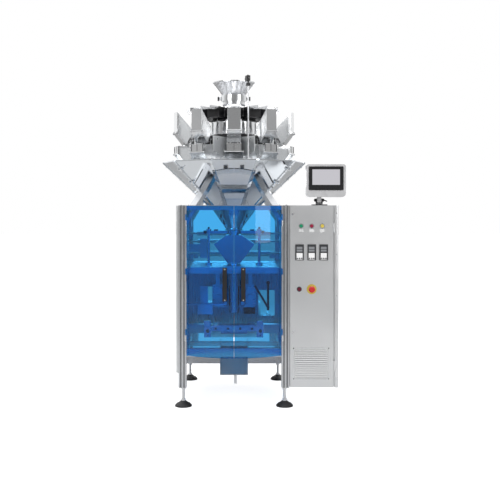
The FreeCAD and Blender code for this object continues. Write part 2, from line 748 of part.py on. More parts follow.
def door_handle():
    """D handle of the right-hand leaf, seated on the bent sheet."""
    radius, centre_y = door_circle()
    front = -DOOR_BULGE - HANDLE_REACH
    bow = block(HANDLE_X - HANDLE_WIDTH / 2, HANDLE_X + HANDLE_WIDTH / 2, front, -DOOR_BULGE + 20,
                HANDLE_Z, HANDLE_TOP)
    bow = rounded(bow, 14, lambda edge: edge_along(V(1, 0, 0))(edge) and edge.CenterOfMass.y < front + 1)
    grip = block(HANDLE_X - HANDLE_WIDTH, HANDLE_X + HANDLE_WIDTH, front + HANDLE_BAR, 0,
                 HANDLE_Z + HANDLE_BAR + 8, HANDLE_TOP - HANDLE_BAR - 8)
    grip = rounded(grip, 10, lambda edge: edge_along(V(1, 0, 0))(edge) and edge.CenterOfMass.y < -100)
    sheet = drum(0, centre_y, HANDLE_Z - 1, HANDLE_TOP + 1, radius)
    return bow.cut(grip).cut(sheet)


# ---------------------------------------------------------------- cabinet

def cabinet_shell():
    """Open-fronted sheet cabinet with a rounded strip right of its door, and hinge halves."""
    back = CABINET_Y + CABINET_DEPTH
    body = block(CABINET_LEFT, CABINET_RIGHT, CABINET_Y, back, CABINET_Z, FRAME_TOP)
    room = block(CABINET_LEFT + SHEET, CABINET_RIGHT - SHEET, CABINET_Y - 1, back - SHEET,
                 CABINET_Z + SHEET, FRAME_TOP - SHEET)
    body = body.cut(room)
    strip = block(STRIP_LEFT, CABINET_RIGHT, 0, CABINET_Y + 12, CABINET_Z, FRAME_TOP)
    strip = rounded(strip, STRIP_ROUND, lambda edge: edge_along(V(0, 0, 1))(edge)
                    and edge.CenterOfMass.y < 1 and edge.CenterOfMass.x > CABINET_RIGHT - 1)
    rim = block(CABINET_LEFT, CABINET_RIGHT, CABINET_Y, CABINET_Y + SHEET, CABINET_Z, FRAME_TOP)
    rim = rim.cut(block(CABINET_LEFT + CABINET_RIM, STRIP_LEFT - CABINET_RIM, CABINET_Y - 1,
                        CABINET_Y + SHEET + 1, CABINET_Z + CABINET_RIM, FRAME_TOP - CABINET_RIM))
    shell = joined(body, strip, rim)
    x, y = PANEL_HINGE
    for z in hinge_heights():
        knuckle = drum(x, y, z, z + KNUCKLE_LENGTH / 2 - SEAT_GAP, KNUCKLE_R)
        leaf = block(x, STRIP_LEFT + 12, y, 0, z, z + KNUCKLE_LENGTH / 2 - SEAT_GAP)
        shell = shell.fuse(knuckle).fuse(leaf)
    spacer = block(FRAME_HALF, CABINET_LEFT, CABINET_Y + 2, POST, CABINET_Z + 80, FRAME_TOP - 60)
    return [joined(shell, spacer)]


def hinge_heights():
    """Heights of the lower end of each cabinet hinge."""
    return (CABINET_Z + 110, FRAME_TOP - 170)


def cabinet_door():
    """Pan door with cut-outs for the buttons, the controllers and the louvred vent."""
    x0, x1 = CABINET_LEFT, PANEL_DOOR_RIGHT
    z0, z1 = CABINET_Z + PANEL_DOOR_GAP, FRAME_TOP - PANEL_DOOR_GAP
    pan = block(x0, x1, 0, PANEL_DOOR_DEPTH, z0, z1)
    pan = pan.cut(block(x0 + SHEET, x1 - SHEET, SHEET, PANEL_DOOR_DEPTH + 1, z0 + SHEET, z1 - SHEET))
    for x in (START_X, STOP_X):
        pan = pan.cut(rod(V(x, -1, BUTTON_Z), V(x, SHEET + 1, BUTTON_Z), BUTTON_R + SEAT_GAP))
    pan = pan.cut(rod(V(STOP_X, -1, STOP_ROW_Z), V(STOP_X, SHEET + 1, STOP_ROW_Z),
                      E_STOP_STEM_R + SEAT_GAP))
    width, height, _ = CONTROLLER_BODY
    for x in CONTROLLER_X:
        pan = pan.cut(block(x - width / 2, x + width / 2, -1, SHEET + 1,
                            CONTROLLER_Z - height / 2, CONTROLLER_Z + height / 2))
    pan = pan.cut(block(VENT_LEFT + VENT_FRAME, VENT_RIGHT - VENT_FRAME, -1, SHEET + 1,
                        VENT_Z + VENT_FRAME, VENT_TOP - VENT_FRAME))
    for slat in vent_slats():
        pan = pan.fuse(slat)
    x, y = PANEL_HINGE
    for z in hinge_heights():
        low = z + KNUCKLE_LENGTH / 2 + SEAT_GAP
        pan = pan.fuse(drum(x, y, low, z + KNUCKLE_LENGTH, KNUCKLE_R))
        pan = pan.fuse(block(x1 - 14, x, y, 0, low, z + KNUCKLE_LENGTH))
    return [pan.removeSplitter()]


def vent_slats():
    """Sloping slats pressed in the lower part of the cabinet door."""
    low = VENT_Z + VENT_FRAME
    pitch = (VENT_TOP - VENT_FRAME - low) / VENT_SLATS
    for index in range(VENT_SLATS):
        z = low + index * pitch
        outline = [(SHEET, z + pitch), (0, z + pitch), (-5, z + pitch * 0.35), (-3.4, z + pitch * 0.2),
                   (1.4, z + pitch * 0.86)]
        yield plate_yz(outline, VENT_LEFT + VENT_FRAME, VENT_RIGHT - VENT_FRAME)


def temperature_controllers():
    """Three panel instruments: a front frame and the body behind the door."""
    width, height, depth = CONTROLLER_BODY
    units = []
    for x in CONTROLLER_X:
        face = block(x - CONTROLLER_WIDTH / 2, x + CONTROLLER_WIDTH / 2, -CONTROLLER_PROUD, 0,
                     CONTROLLER_Z - CONTROLLER_HEIGHT / 2, CONTROLLER_Z + CONTROLLER_HEIGHT / 2)
        face = rounded(face, 3, edge_along(V(0, 1, 0)))
        glass = block(x - width / 2, x + width / 2, -CONTROLLER_PROUD - 1, -CONTROLLER_PROUD + 2,
                      CONTROLLER_Z - height / 2 + 3, CONTROLLER_Z + height / 2 - 3)
        body = block(x - width / 2, x + width / 2, 0, depth, CONTROLLER_Z - height / 2,
                     CONTROLLER_Z + height / 2)
        units.append(joined(face.cut(glass), body))
    return units


def button_bezels():
    """Bezels of the two buttons, the yellow lamp, the pilot lamp and the emergency stop's collar."""
    pieces = []
    for x in (START_X, STOP_X):
        ring = rod(V(x, -BEZEL_PROUD, BUTTON_Z), V(x, 0, BUTTON_Z), BEZEL_R)
        pieces.append(ring.cut(rod(V(x, -BEZEL_PROUD - 1, BUTTON_Z), V(x, 1, BUTTON_Z),
                                   BUTTON_R + SEAT_GAP)))
    for x, z in ((LAMP_X, BUTTON_Z), (PILOT_X, STOP_ROW_Z)):
        lamp = rod(V(x, -BEZEL_PROUD, z), V(x, 0, z), BEZEL_R)
        pieces.append(lamp.fuse(rod(V(x, -BUTTON_PROUD, z), V(x, 0, z), BUTTON_R)).removeSplitter())
    collar = rod(V(STOP_X, -BEZEL_PROUD, STOP_ROW_Z), V(STOP_X, 0, STOP_ROW_Z), E_STOP_COLLAR_R)
    pieces.append(collar.cut(rod(V(STOP_X, -BEZEL_PROUD - 1, STOP_ROW_Z), V(STOP_X, 1, STOP_ROW_Z),
                                 E_STOP_STEM_R + SEAT_GAP)))
    return pieces


def push_button(x):
    """Round cap that slides in its bezel."""
    cap = rod(V(x, -BUTTON_PROUD, BUTTON_Z), V(x, SHEET + 8, BUTTON_Z), BUTTON_R)
    rim = [edge for edge in cap.Edges if edge.CenterOfMass.y < -BUTTON_PROUD + 0.1]
    return [cap.makeChamfer(2, rim)]


def e_stop_button():
    """Mushroom head on its stem."""
    z = STOP_ROW_Z
    front, back = -E_STOP_PROUD, -E_STOP_PROUD + E_STOP_HEAD
    stem = rod(V(STOP_X, back - 2, z), V(STOP_X, SHEET + 14, z), E_STOP_STEM_R)
    head = rod(V(STOP_X, front, z), V(STOP_X, back, z), E_STOP_R)
    rim = [edge for edge in head.Edges if edge.CenterOfMass.y < front + 0.1]
    return [joined(stem, head.makeChamfer(5, rim))]


# ---------------------------------------------------------------- touch screen

def screen_base():
    """Plate and boss on the cabinet's top."""
    plate = block(SCREEN_PIVOT_X - BASE_HALF, SCREEN_PIVOT_X + BASE_HALF, SCREEN_Y - BASE_HALF,
                  SCREEN_Y + BASE_HALF, FRAME_TOP, FRAME_TOP + BASE_THICK)
    plate = rounded(plate, 8, edge_along(V(0, 0, 1)))
    boss = drum(SCREEN_PIVOT_X, SCREEN_Y, FRAME_TOP, FRAME_TOP + BASE_THICK + 4, SWIVEL_R)
    return [joined(plate, boss)]


def screen_arm():
    """Swivelling disc with two cheeks that hold the tilt barrel."""
    x, y = SCREEN_PIVOT_X, SCREEN_Y
    low = FRAME_TOP + BASE_THICK + 4 + SEAT_GAP
    arm = drum(x, y, low, low + 10, SWIVEL_R)
    for side in (-1, 1):
        cheek = block(x + side * 18 - 4, x + side * 18 + 4, y - 10, y + 10, low, TILT_Z)
        ear = rod(V(x + side * 18 - 4, y, TILT_Z), V(x + side * 18 + 4, y, TILT_Z), 11)
        arm = arm.fuse(cheek).fuse(ear)
    return [arm.removeSplitter()]


def screen_housing():
    """Rounded box with the lug that tilts between the cheeks and the tilt lever."""
    y0 = SCREEN_Y - SCREEN_DEPTH / 2
    box = block(SCREEN_LEFT, SCREEN_RIGHT, y0, y0 + SCREEN_DEPTH, SCREEN_Z, SCREEN_TOP)
    upright = edge_along(V(0, 1, 0))
    middle_z = (SCREEN_Z + SCREEN_TOP) / 2
    box = rounded(box, SCREEN_ROUND_LOW, lambda edge: upright(edge) and edge.CenterOfMass.z < middle_z)
    box = rounded(box, SCREEN_ROUND_HIGH, lambda edge: upright(edge) and edge.CenterOfMass.z > middle_z)
    middle = (SCREEN_LEFT + SCREEN_RIGHT) / 2
    room = block(SCREEN_LEFT + SHEET, SCREEN_RIGHT - SHEET, y0 + SHEET, y0 + SCREEN_DEPTH - SHEET,
                 SCREEN_Z + SCREEN_ROUND_LOW / 2, SCREEN_TOP - SCREEN_ROUND_HIGH / 2)
    window = block(middle - BEZEL_WIDTH / 2 + 8, middle + BEZEL_WIDTH / 2 - 8, y0 - 1, y0 + SHEET + 1,
                   BEZEL_Z + 8, BEZEL_Z + BEZEL_HEIGHT - 8)
    box = box.cut(room).cut(window)
    x = SCREEN_PIVOT_X
    barrel = rod(V(x - BARREL_HALF, SCREEN_Y, TILT_Z), V(x + BARREL_HALF, SCREEN_Y, TILT_Z), 10)
    neck = block(x - BARREL_HALF, x + BARREL_HALF, SCREEN_Y - 9, SCREEN_Y + 9, TILT_Z, SCREEN_Z)
    return [joined(box, barrel, neck)]


def screen_panel():
    """Flat bezel with the display sunk in it."""
    y0 = SCREEN_Y - SCREEN_DEPTH / 2
    x = (SCREEN_LEFT + SCREEN_RIGHT) / 2
    bezel = block(x - BEZEL_WIDTH / 2, x + BEZEL_WIDTH / 2, y0 - 4, y0, BEZEL_Z, BEZEL_Z + BEZEL_HEIGHT)
    bezel = rounded(bezel, 5, edge_along(V(0, 1, 0)))
    display = block(x - 87.5, x + 87.5, y0 - 5, y0 - 3, BEZEL_Z + 34, BEZEL_Z + 132)
    return [bezel.cut(display)]


# ---------------------------------------------------------------- weigher body

def weigher_housing():
    """Round lower housing with upright seams, on the base plate that the legs carry."""
    seam = 3.0
    housing = drum(0, AXIS_Y, HOUSING_Z, GASKET_Z, HOUSING_R)
    base = drum(0, AXIS_Y, BASE_Z, HOUSING_Z, BASE_R)
    for step in range(HEADS):
        groove = block(HOUSING_R - 1.5, HOUSING_R + 1, -seam / 2, seam / 2, HOUSING_Z + 6, GASKET_Z - 6)
        housing = housing.cut(on_head(groove, step + 0.5))
    return [joined(housing, base)]


def housing_dome():
    """Rubber gasket ring and the spun dome above it."""
    shoulder = 26.0
    profile = [(0, GASKET_Z), (GASKET_R - 8, GASKET_Z), (GASKET_R, GASKET_Z + 5), (GASKET_R, DOME_Z - 4),
               (DOME_R, DOME_Z), (DOME_R, DOME_TOP - shoulder)]
    for degrees in (18, 36, 54, 72, 90):
        angle = math.radians(degrees)
        profile.append((DOME_R - shoulder * (1 - math.cos(angle)),
                        DOME_TOP - shoulder * (1 - math.sin(angle))))
    profile.append((0, DOME_TOP))
    return [turned(profile)]


def drive_units():
    """One closed drive box per head, fixed to the housing."""
    half = UNIT_WIDTH / 2
    plan = [(HOUSING_R - 10, -32), (HOUSING_R + 22, -half), (UNIT_REACH, -half),
            (UNIT_REACH, half), (HOUSING_R + 22, half), (HOUSING_R - 10, 32)]
    unit = plate_xy(plan, UNIT_Z, UNIT_TOP)
    round_off = [edge for edge in unit.Edges
                 if edge_along(V(0, 0, 1))(edge) and edge.CenterOfMass.x > UNIT_REACH - 1]
    unit = unit.makeFillet(6, round_off)
    slope = plate_xz([(HOUSING_R + 60, UNIT_Z - 1), (UNIT_REACH + 1, UNIT_Z - 1),
                      (UNIT_REACH + 1, UNIT_Z + 24)], -half - 1, half + 1)
    unit = unit.cut(slope)
    core = Part.makeCylinder(HOUSING_R, UNIT_TOP - UNIT_Z + 2, V(0, 0, UNIT_Z - 1))
    unit = unit.cut(core)
    return [on_head(unit, step) for step in range(HEADS)]


# ---------------------------------------------------------------- hoppers

def hopper_shell(inner_r, outer_r, top_in, top_out, kink, mouth, width):
    """Open-bottomed hopper: two shaped cheeks, an inner wall that slopes at its foot, an outer wall."""
    mouth_in, mouth_out, mouth_z = mouth
    outline = [(inner_r, top_in), (outer_r, top_out), (outer_r, kink), (mouth_out, mouth_z),
               (mouth_in, mouth_z), (inner_r, kink)]
    body = plate_xz(outline, -width / 2, width / 2)
    sheet = HOPPER_SHEET
    past = 12.0
    room = [(inner_r + sheet, top_out + past), (outer_r - sheet, top_out + past),
            (outer_r - sheet, kink), (outer_r + past, kink), (mouth_out + past, mouth_z - past),
            (mouth_in + sheet * 1.3, mouth_z - past), (mouth_in + sheet * 1.3, mouth_z),
            (inner_r + sheet, kink)]
    return body.cut(plate_xz(room, -width / 2 + sheet, width / 2 - sheet))


def gate_plate(outer_r, kink, mouth, half_width, gap):
    """Outer lower flap of a hopper, with its hinge eyes at the upper corners."""
    _, mouth_out, mouth_z = mouth
    run = outer_r - mouth_out
    drop = kink - mouth_z
    length = math.hypot(run, drop)
    out_x, out_z = drop / length, -run / length
    sheet = HOPPER_SHEET
    past = 4.0
    low_x, low_z = mouth_out - run / length * past, mouth_z - drop / length * past
    outline = [(outer_r + out_x * gap, kink + out_z * gap), (low_x + out_x * gap, low_z + out_z * gap),
               (low_x + out_x * (gap + sheet), low_z + out_z * (gap + sheet)),
               (outer_r + out_x * (gap + sheet), kink + out_z * (gap + sheet))]
    return plate_xz(outline, -half_width, half_width)


def feed_hoppers():
    """Ten feed hoppers that hang on the upper front edge of their drive boxes."""
    shell = hopper_shell(FEED_INNER_R, FEED_OUTER_R, FEED_TOP_IN, FEED_TOP_OUT, FEED_KINK,
                         FEED_MOUTH, FEED_WIDTH)
    for y in (-24, 24):
        hook = plate_xz([(UNIT_REACH, UNIT_TOP - 30), (UNIT_REACH, UNIT_TOP), (FEED_INNER_R, FEED_KINK + 22),
                         (FEED_INNER_R + 1, FEED_KINK), (FEED_INNER_R + 9, FEED_KINK - 17)], y - 3, y + 3)
        shell = shell.fuse(hook)
    shell = shell.removeSplitter()
    return [on_head(shell, step) for step in range(HEADS)]


def weigh_hoppers():
    """Ten weigh hoppers on the lower hooks of the drive boxes."""
    shell = hopper_shell(WEIGH_INNER_R, WEIGH_OUTER_R, WEIGH_TOP - 4, WEIGH_TOP, WEIGH_KINK,
                         WEIGH_MOUTH, WEIGH_WIDTH)
    for y in (-30, 30):
        hook = block(UNIT_REACH, WEIGH_INNER_R, y - 3, y + 3, UNIT_Z + 26, UNIT_Z + 56)
        shell = shell.fuse(hook)
    shell = shell.removeSplitter()
    return [on_head(shell, step) for step in range(HEADS)]


def fixed_gates():
    """Flaps of all the feed hoppers and of the rear weigh hoppers, shut."""
    feed = gate_plate(FEED_OUTER_R, FEED_KINK, FEED_MOUTH, FEED_WIDTH / 2 + FEED_GATE_OVERLAP, 0)
    weigh = gate_plate(WEIGH_OUTER_R, WEIGH_KINK, WEIGH_MOUTH, WEIGH_WIDTH / 2 + WEIGH_GATE_OVERLAP, 0)
    front = [step % HEADS for step in MOVING_HEADS]
    gates = [on_head(feed, step) for step in range(HEADS)]
    gates += [on_head(weigh, step) for step in range(HEADS) if step not in front]
    return gates


def weigh_gate(step):
    """Flap of one front weigh hopper, hinged at its upper edge."""
    half_width = WEIGH_WIDTH / 2 + WEIGH_GATE_OVERLAP
    flap = gate_plate(WEIGH_OUTER_R, WEIGH_KINK, WEIGH_MOUTH, half_width, SEAT_GAP)
    return [on_head(flap, step)]


# ---------------------------------------------------------------- product feed

def pan_half(radius):
    """Half the width of a trough at a radius inside its widest part."""
    share = (radius - PAN_IN) / (PAN_TAPER_END - PAN_IN)
    return PAN_HALF_IN + share * (PAN_HALF_OUT - PAN_HALF_IN)


def feeder_pans():
    """Ten radial troughs that widen outwards."""
    sheet = HOPPER_SHEET
    end = PAN_HALF_OUT - 8
    side = [(PAN_IN, PAN_HALF_IN), (PAN_TAPER_END, PAN_HALF_OUT), (PAN_OUT, end)]
    inside = [(PAN_IN - 1, PAN_HALF_IN - sheet), (PAN_TAPER_END, PAN_HALF_OUT - sheet),
              (PAN_OUT + 1, end - sheet)]
    plan = [(r, -y) for r, y in side] + side[::-1]
    room = [(r, -y) for r, y in inside] + inside[::-1]
    trough = plate_xy(plan, PAN_Z, PAN_Z + PAN_WALL)
    trough = trough.cut(plate_xy(room, PAN_Z + sheet, PAN_Z + PAN_WALL + 1))
    return [on_head(trough, step) for step in range(HEADS)]


def vibrators():
    """Ten dark vibrator boxes on the dome, each with two cheeks that hold its trough."""
    half_in, half_out = VIBRATOR_HALF
    plan = [(VIBRATOR_IN, -half_in), (VIBRATOR_OUT, -half_out), (VIBRATOR_OUT, half_out),
            (VIBRATOR_IN, half_in)]
    unit = plate_xy(plan, DOME_TOP, PAN_Z)
    cheek = [(PAN_IN, -PAN_HALF_IN), (VIBRATOR_OUT, -pan_half(VIBRATOR_OUT)),
             (VIBRATOR_OUT, -pan_half(VIBRATOR_OUT) - CHEEK), (PAN_IN, -PAN_HALF_IN - CHEEK)]
    for side in (-1, 1):
        plan = [(r, side * y) for r, y in cheek]
        unit = unit.fuse(plate_xy(plan, DOME_TOP + CHEEK, PAN_Z + PAN_WALL))
    unit = unit.removeSplitter()
    return [on_head(unit, step) for step in range(HEADS)]


def top_cone():
    """Flat cone that spreads the product, on its centre vibrator."""
    profile = [(0, DOME_TOP), (COLUMN_R, DOME_TOP), (COLUMN_R, CONE_Z - 4), (CONE_R, CONE_Z - 4),
               (CONE_R, CONE_Z), (24, CONE_Z + CONE_HEIGHT * 0.82), (10, CONE_Z + CONE_HEIGHT * 0.96),
               (0, CONE_Z + CONE_HEIGHT)]
    return [turned(profile)]


def infeed_funnel():
    """Many-sided infeed hopper with a rolled rim and a short round throat."""
    sheet = HOPPER_SHEET
    neck = COLLAR_Z + COLLAR_HEIGHT + 1
    below = INFEED_TOP - RIM_DROP
    cone = flat_sided([(THROAT_R + 1, neck), (INFEED_TOP_R, below)], FLUTES)
    room = flat_sided([(THROAT_R - sheet, neck - sheet), (INFEED_TOP_R - sheet, below)], FLUTES)
    rim = turned([(INFEED_TOP_R - 6, below - 1), (INFEED_TOP_R + 3, below - 1),
                  (INFEED_TOP_R + 3, INFEED_TOP), (INFEED_TOP_R - 6, INFEED_TOP)])
    throat = turned([(THROAT_R - sheet, THROAT_Z), (THROAT_R, THROAT_Z), (THROAT_R, neck + 1),
                     (THROAT_R - sheet, neck + 1)])
    inside = drum(0, AXIS_Y, THROAT_Z - 1, neck + sheet, THROAT_R - sheet)
    return [joined(cone.cut(room), rim, throat).cut(inside)]


def infeed_collar():
    """Clamp ring with two knobs, on two rods that stand between the rear troughs."""
    z = COLLAR_Z + COLLAR_HEIGHT / 2
    ring = drum(0, AXIS_Y, COLLAR_Z, COLLAR_Z + COLLAR_HEIGHT, COLLAR_R)
    for step in (HEADS / 2 - 0.5, HEADS / 2 + 0.5):
        stay = block(COLLAR_R - 4, STAND_R, -5, 5, z - 8, z + 8)
        stand = Part.makeCylinder(STAND_ROD_R, z + 12 - DOME_TOP + 26, V(STAND_R, 0, DOME_TOP - 26))
        ring = ring.fuse(on_head(stay, step)).fuse(on_head(stand, step))
    for side in (-1, 1):
        x = side * (COLLAR_R - 2)
        ring = ring.fuse(rod(V(x, AXIS_Y, z), V(x + side * KNOB_REACH, AXIS_Y, z), KNOB_R))
    bore = drum(0, AXIS_Y, COLLAR_Z - 1, COLLAR_Z + COLLAR_HEIGHT + 1, THROAT_R)
    return [ring.removeSplitter().cut(joined(*housing_dome())).cut(bore)]


def level_sensor():
    """Upright rod on an arm from the housing, with a sensor head aimed at the infeed funnel."""
    post = Part.makeCylinder(SENSOR_ROD_R, SENSOR_TOP - 1556, V(SENSOR_R, 0, 1556))
    arm = block(HOUSING_R - 2, SENSOR_R, -5, 5, 1562, 1574)
    arm = arm.cut(Part.makeCylinder(HOUSING_R, 40, V(0, 0, 1550)))
    middle = SENSOR_TOP + SENSOR_HEAD / 2
    head = block(SENSOR_R - 30, SENSOR_R + 10, -11, 11, SENSOR_TOP, SENSOR_TOP + SENSOR_HEAD)
    nose = rod(V(SENSOR_R - 44, 0, middle), V(SENSOR_R - 30, 0, middle), 9)
    clamp = block(SENSOR_R - 11, SENSOR_R + 11, -11, 11, SENSOR_TOP - 32, SENSOR_TOP - 14)
    return [on_head(joined(post, arm, head, nose, clamp), 0.5)]


# ---------------------------------------------------------------- collecting funnel and legs

def support_legs():
    """Four slanting flat legs from the frame's corners to the weigher's base plate."""
    legs = []
    inner = FRAME_HALF - POST
    for foot_y in (LEG_FOOT_Y, 2 * AXIS_Y - LEG_FOOT_Y - 5):
        run = math.hypot(inner, foot_y - AXIS_Y)
        azimuth = math.degrees(math.atan2(foot_y - AXIS_Y, inner))
        slope = math.degrees(math.atan2(LEG_HEAD_Z - LEG_FOOT_Z, run - LEG_HEAD_R))
        length = 760.0
        leg = Part.makeBox(length, LEG_WIDTH, LEG_THICK, V(-length / 2, -LEG_WIDTH / 2, -LEG_THICK / 2))
        leg.rotate(V(0, 0, 0), V(0, 1, 0), slope)
        leg.translate(V(run, 0, LEG_FOOT_Z))
        leg.rotate(V(0, 0, 0), V(0, 0, 1), azimuth)
        leg.translate(V(0, AXIS_Y, 0))
        room = block(0, inner, 0, FRAME_DEPTH, 1000, BASE_Z)
        leg = leg.common(room)
        if foot_y > AXIS_Y:
            plate = block(inner - LEG_PLATE, inner, foot_y - 50, foot_y + 50, 1120, FRAME_TOP)
            leg = joined(leg, plate)
        legs += pair(leg)
    return legs


def collecting_funnel():
    """Ten-sided funnel with a lip and a strip over each joint, slotted for the legs."""
    rim = FUNNEL_RIM + FUNNEL_LIP
    funnel = flat_sided([(FUNNEL_FOOT_R, FUNNEL_FOOT), (FUNNEL_R, FUNNEL_RIM), (FUNNEL_R, rim)])
    in_rim = FUNNEL_R - RIB_ROOT
    rib_line = [(FUNNEL_FOOT_R - RIB_ROOT, FUNNEL_FOOT), (in_rim, FUNNEL_RIM), (in_rim, rim),
                (FUNNEL_R + RIB_THICK, rim), (FUNNEL_R + RIB_THICK, FUNNEL_RIM - RIB_THICK / 2),
                (FUNNEL_FOOT_R + RIB_THICK, FUNNEL_FOOT)]
    rib = plate_xz(rib_line, -RIB_WIDTH / 2, RIB_WIDTH / 2)
    for step in range(HEADS):
        funnel = funnel.fuse(on_head(rib, step + 0.5))
    in_foot = FUNNEL_FOOT_R - FUNNEL_SHEET
    in_rim = FUNNEL_R - FUNNEL_SHEET
    funnel = funnel.cut(flat_sided([(in_foot, FUNNEL_FOOT), (in_rim, FUNNEL_RIM), (in_rim, rim + 1)]))
    for leg in support_legs():
        funnel = funnel.cut(leg)
    return [funnel]


def discharge_cone():
    """Round lower cone on a flange under the collecting funnel."""
    top = FUNNEL_FOOT
    low = top - CONE_FLANGE
    profile = [(CONE_IN_R - 2, top), (CONE_FLANGE_R, top), (CONE_FLANGE_R, low), (CONE_IN_R + 4, low),
               (CONE_OUT_R + 2, CONE_OUT_Z + 2), (TUBE_FLANGE_R, CONE_OUT_Z), (TUBE_FLANGE_R, TUBE_TOP),
               (CONE_OUT_R, TUBE_TOP)]
    return [turned(profile)]


# ---------------------------------------------------------------- film rack at the rear

def film_rack():
    """Two side plates behind the frame, tied by rods, and an idler roller on two arms above them."""
    rear = FRAME_DEPTH
    outline = [(rear, ROLL_Z - 150), (rear, ROLL_Z + 70), (ROLL_Y, ROLL_Z + 40),
               (RACK_END - 20, ROLL_Z + 40), (RACK_END, ROLL_Z + 20), (RACK_END, ROLL_Z - 30),
               (ROLL_Y, ROLL_Z - 40)]
    inner = RACK_X + RACK_PLATE
    outer = FRAME_HALF - 10
    plate = plate_yz(outline, RACK_X, inner)
    side = joined(plate, block(inner, outer, rear, rear + RACK_PLATE, ROLL_Z - 140, ROLL_Z + 60))
    rack = side.fuse(mirrored(side))
    for y, z in ((RACK_END - 25, ROLL_Z), (rear + 100, ROLL_Z - 70)):
        rack = rack.fuse(rod(V(-RACK_X - 1, y, z), V(RACK_X + 1, y, z), 10))
    half = RACK_PLATE * 3
    arm = block(RACK_X, inner, rear, rear + 110, IDLER_Z - half, IDLER_Z + half)
    arm = joined(arm, block(inner, inner + 50, rear, rear + RACK_PLATE, IDLER_Z - half, IDLER_Z + half))
    idler = rod(V(-RACK_X - 1, rear + 80, IDLER_Z), V(RACK_X + 1, rear + 80, IDLER_Z), IDLER_R)
    upper = arm.fuse(mirrored(arm)).fuse(idler)
    return [rack.removeSplitter(), upper.removeSplitter()]


def film_roll():
    """Roll of film on its shaft, between the rack's side plates."""
    shaft = rod(V(-RACK_X, ROLL_Y, ROLL_Z), V(RACK_X, ROLL_Y, ROLL_Z), SHAFT_R)
    roll = rod(V(-ROLL_HALF, ROLL_Y, ROLL_Z), V(ROLL_HALF, ROLL_Y, ROLL_Z), ROLL_R)
    cones = []
    for end in (-ROLL_HALF - CHUCK, ROLL_HALF):
        cones.append(rod(V(end, ROLL_Y, ROLL_Z), V(end + CHUCK, ROLL_Y, ROLL_Z), CHUCK_R))
    return [joined(shaft, roll, *cones)]


# ---------------------------------------------------------------- assembly

def door_hinges():
    """Fixed halves of the door hinges, on the front of the posts."""
    halves = []
    x = DOOR_HALF + HINGE_OUT
    for z in door_hinge_heights():
        barrel = drum(x, HINGE_Y, z, z + HINGE_HALF, KNUCKLE_R)
        leaf = block(x, x + HINGE_LEAF, HINGE_Y + 4, 0, z, z + HINGE_HALF)
        neck = block(x, x + KNUCKLE_R, HINGE_Y, 0, z, z + HINGE_HALF)
        halves += pair(joined(barrel, leaf, neck))
    return halves


def door_hinge_heights():
    """Heights of the lower end of each door hinge."""
    return (DOOR_Z + 90, (DOOR_Z + DOOR_TOP) / 2, DOOR_TOP - 130)


def hinged_leaf():
    """Door leaf with its own hinge knuckles above the fixed ones."""
    leaf = door_leaf()
    x = DOOR_HALF + HINGE_OUT
    for z in door_hinge_heights():
        low = z + HINGE_HALF + 1
        knuckle = drum(x, HINGE_Y, low, low + HINGE_HALF, KNUCKLE_R)
        web = block(DOOR_HALF - 2, x, HINGE_Y - 2, HINGE_Y + 2, low, low + HINGE_HALF)
        leaf = leaf.fuse(knuckle).fuse(web)
    return leaf.removeSplitter()


def build():
    """Every node's name and its solids."""
    nodes = {
        "corner_posts": corner_posts(),
        "frame_rails": frame_rails(),
        "side_panels": side_panels(),
        "foot_spindles": foot_spindles(),
        "foot_pads": foot_pads(),
        "door_hinges": door_hinges(),
        "table_plate": table_plate(),
        "former_frame": former_frame(),
        "forming_tube": forming_tube(),
        "forming_shoulder": forming_shoulder(),
        "pull_belts": pull_belts(),
        "belt_units": belt_units(),
        "sealer_arm": sealer_arm(),
        "utility_box": utility_box(),
        "drive_motor": drive_motor(),
        "back_plate": back_plate(),
        "film_rollers": film_rollers(),
        "jaw_guide": jaw_guide(),
        "front_jaw": front_jaw(),
        "rear_jaw": rear_jaw(),
        "discharge_chute": discharge_chute(),
        "left_door": [mirrored(hinged_leaf())],
        "left_door_handle": [mirrored(door_handle())],
        "right_door": [hinged_leaf()],
        "right_door_handle": [door_handle()],
        "cabinet_shell": cabinet_shell(),
        "cabinet_door": cabinet_door(),
        "temperature_controllers": temperature_controllers(),
        "button_bezels": button_bezels(),
        "start_button": push_button(START_X),
        "stop_button": push_button(STOP_X),
        "e_stop_button": e_stop_button(),
        "screen_base": screen_base(),
        "screen_arm": screen_arm(),
        "screen_housing": screen_housing(),
        "screen_panel": screen_panel(),
        "support_legs": support_legs(),
        "collecting_funnel": collecting_funnel(),
        "discharge_cone": discharge_cone(),
        "weigher_housing": weigher_housing(),
        "housing_dome": housing_dome(),
        "drive_units": drive_units(),
        "feed_hoppers": feed_hoppers(),
        "weigh_hoppers": weigh_hoppers(),
        "fixed_gates": fixed_gates(),
        "feeder_pans": feeder_pans(),
        "vibrators": vibrators(),
        "top_cone": top_cone(),
        "infeed_funnel": infeed_funnel(),
        "infeed_collar": infeed_collar(),
        "level_sensor": level_sensor(),
        "film_rack": film_rack(),
        "film_roll": film_roll(),
    }
    for number, step in enumerate(MOVING_HEADS, start=1):
        nodes["weigh_gate_%d" % number] = weigh_gate(step)
    return nodes


def origin_shift(nodes):
    """Move that puts the middle of the bounding box's bottom on the origin."""
    box = Part.makeCompound([solid for solids in nodes.values() for solid in solids]).BoundBox
    return V(-(box.XMin + box.XMax) / 2, -(box.YMin + box.YMax) / 2, -box.ZMin)


def main():
    os.makedirs("parts", exist_ok=True)
    nodes = build()
    shift = origin_shift(nodes)
    for name, solids in nodes.items():
        shape = solids[0] if len(solids) == 1 else Part.makeCompound(solids)
        shape.translated(shift).exportStep("parts/%s.step" % name)


if __name__ == "__main__":
    main()
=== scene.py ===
"""Looks of the multihead weigher on its bagging machine: finishes, small fasteners and fittings."""
import json
import math
import random

import bmesh
import bpy
from mathutils import Matrix, Vector


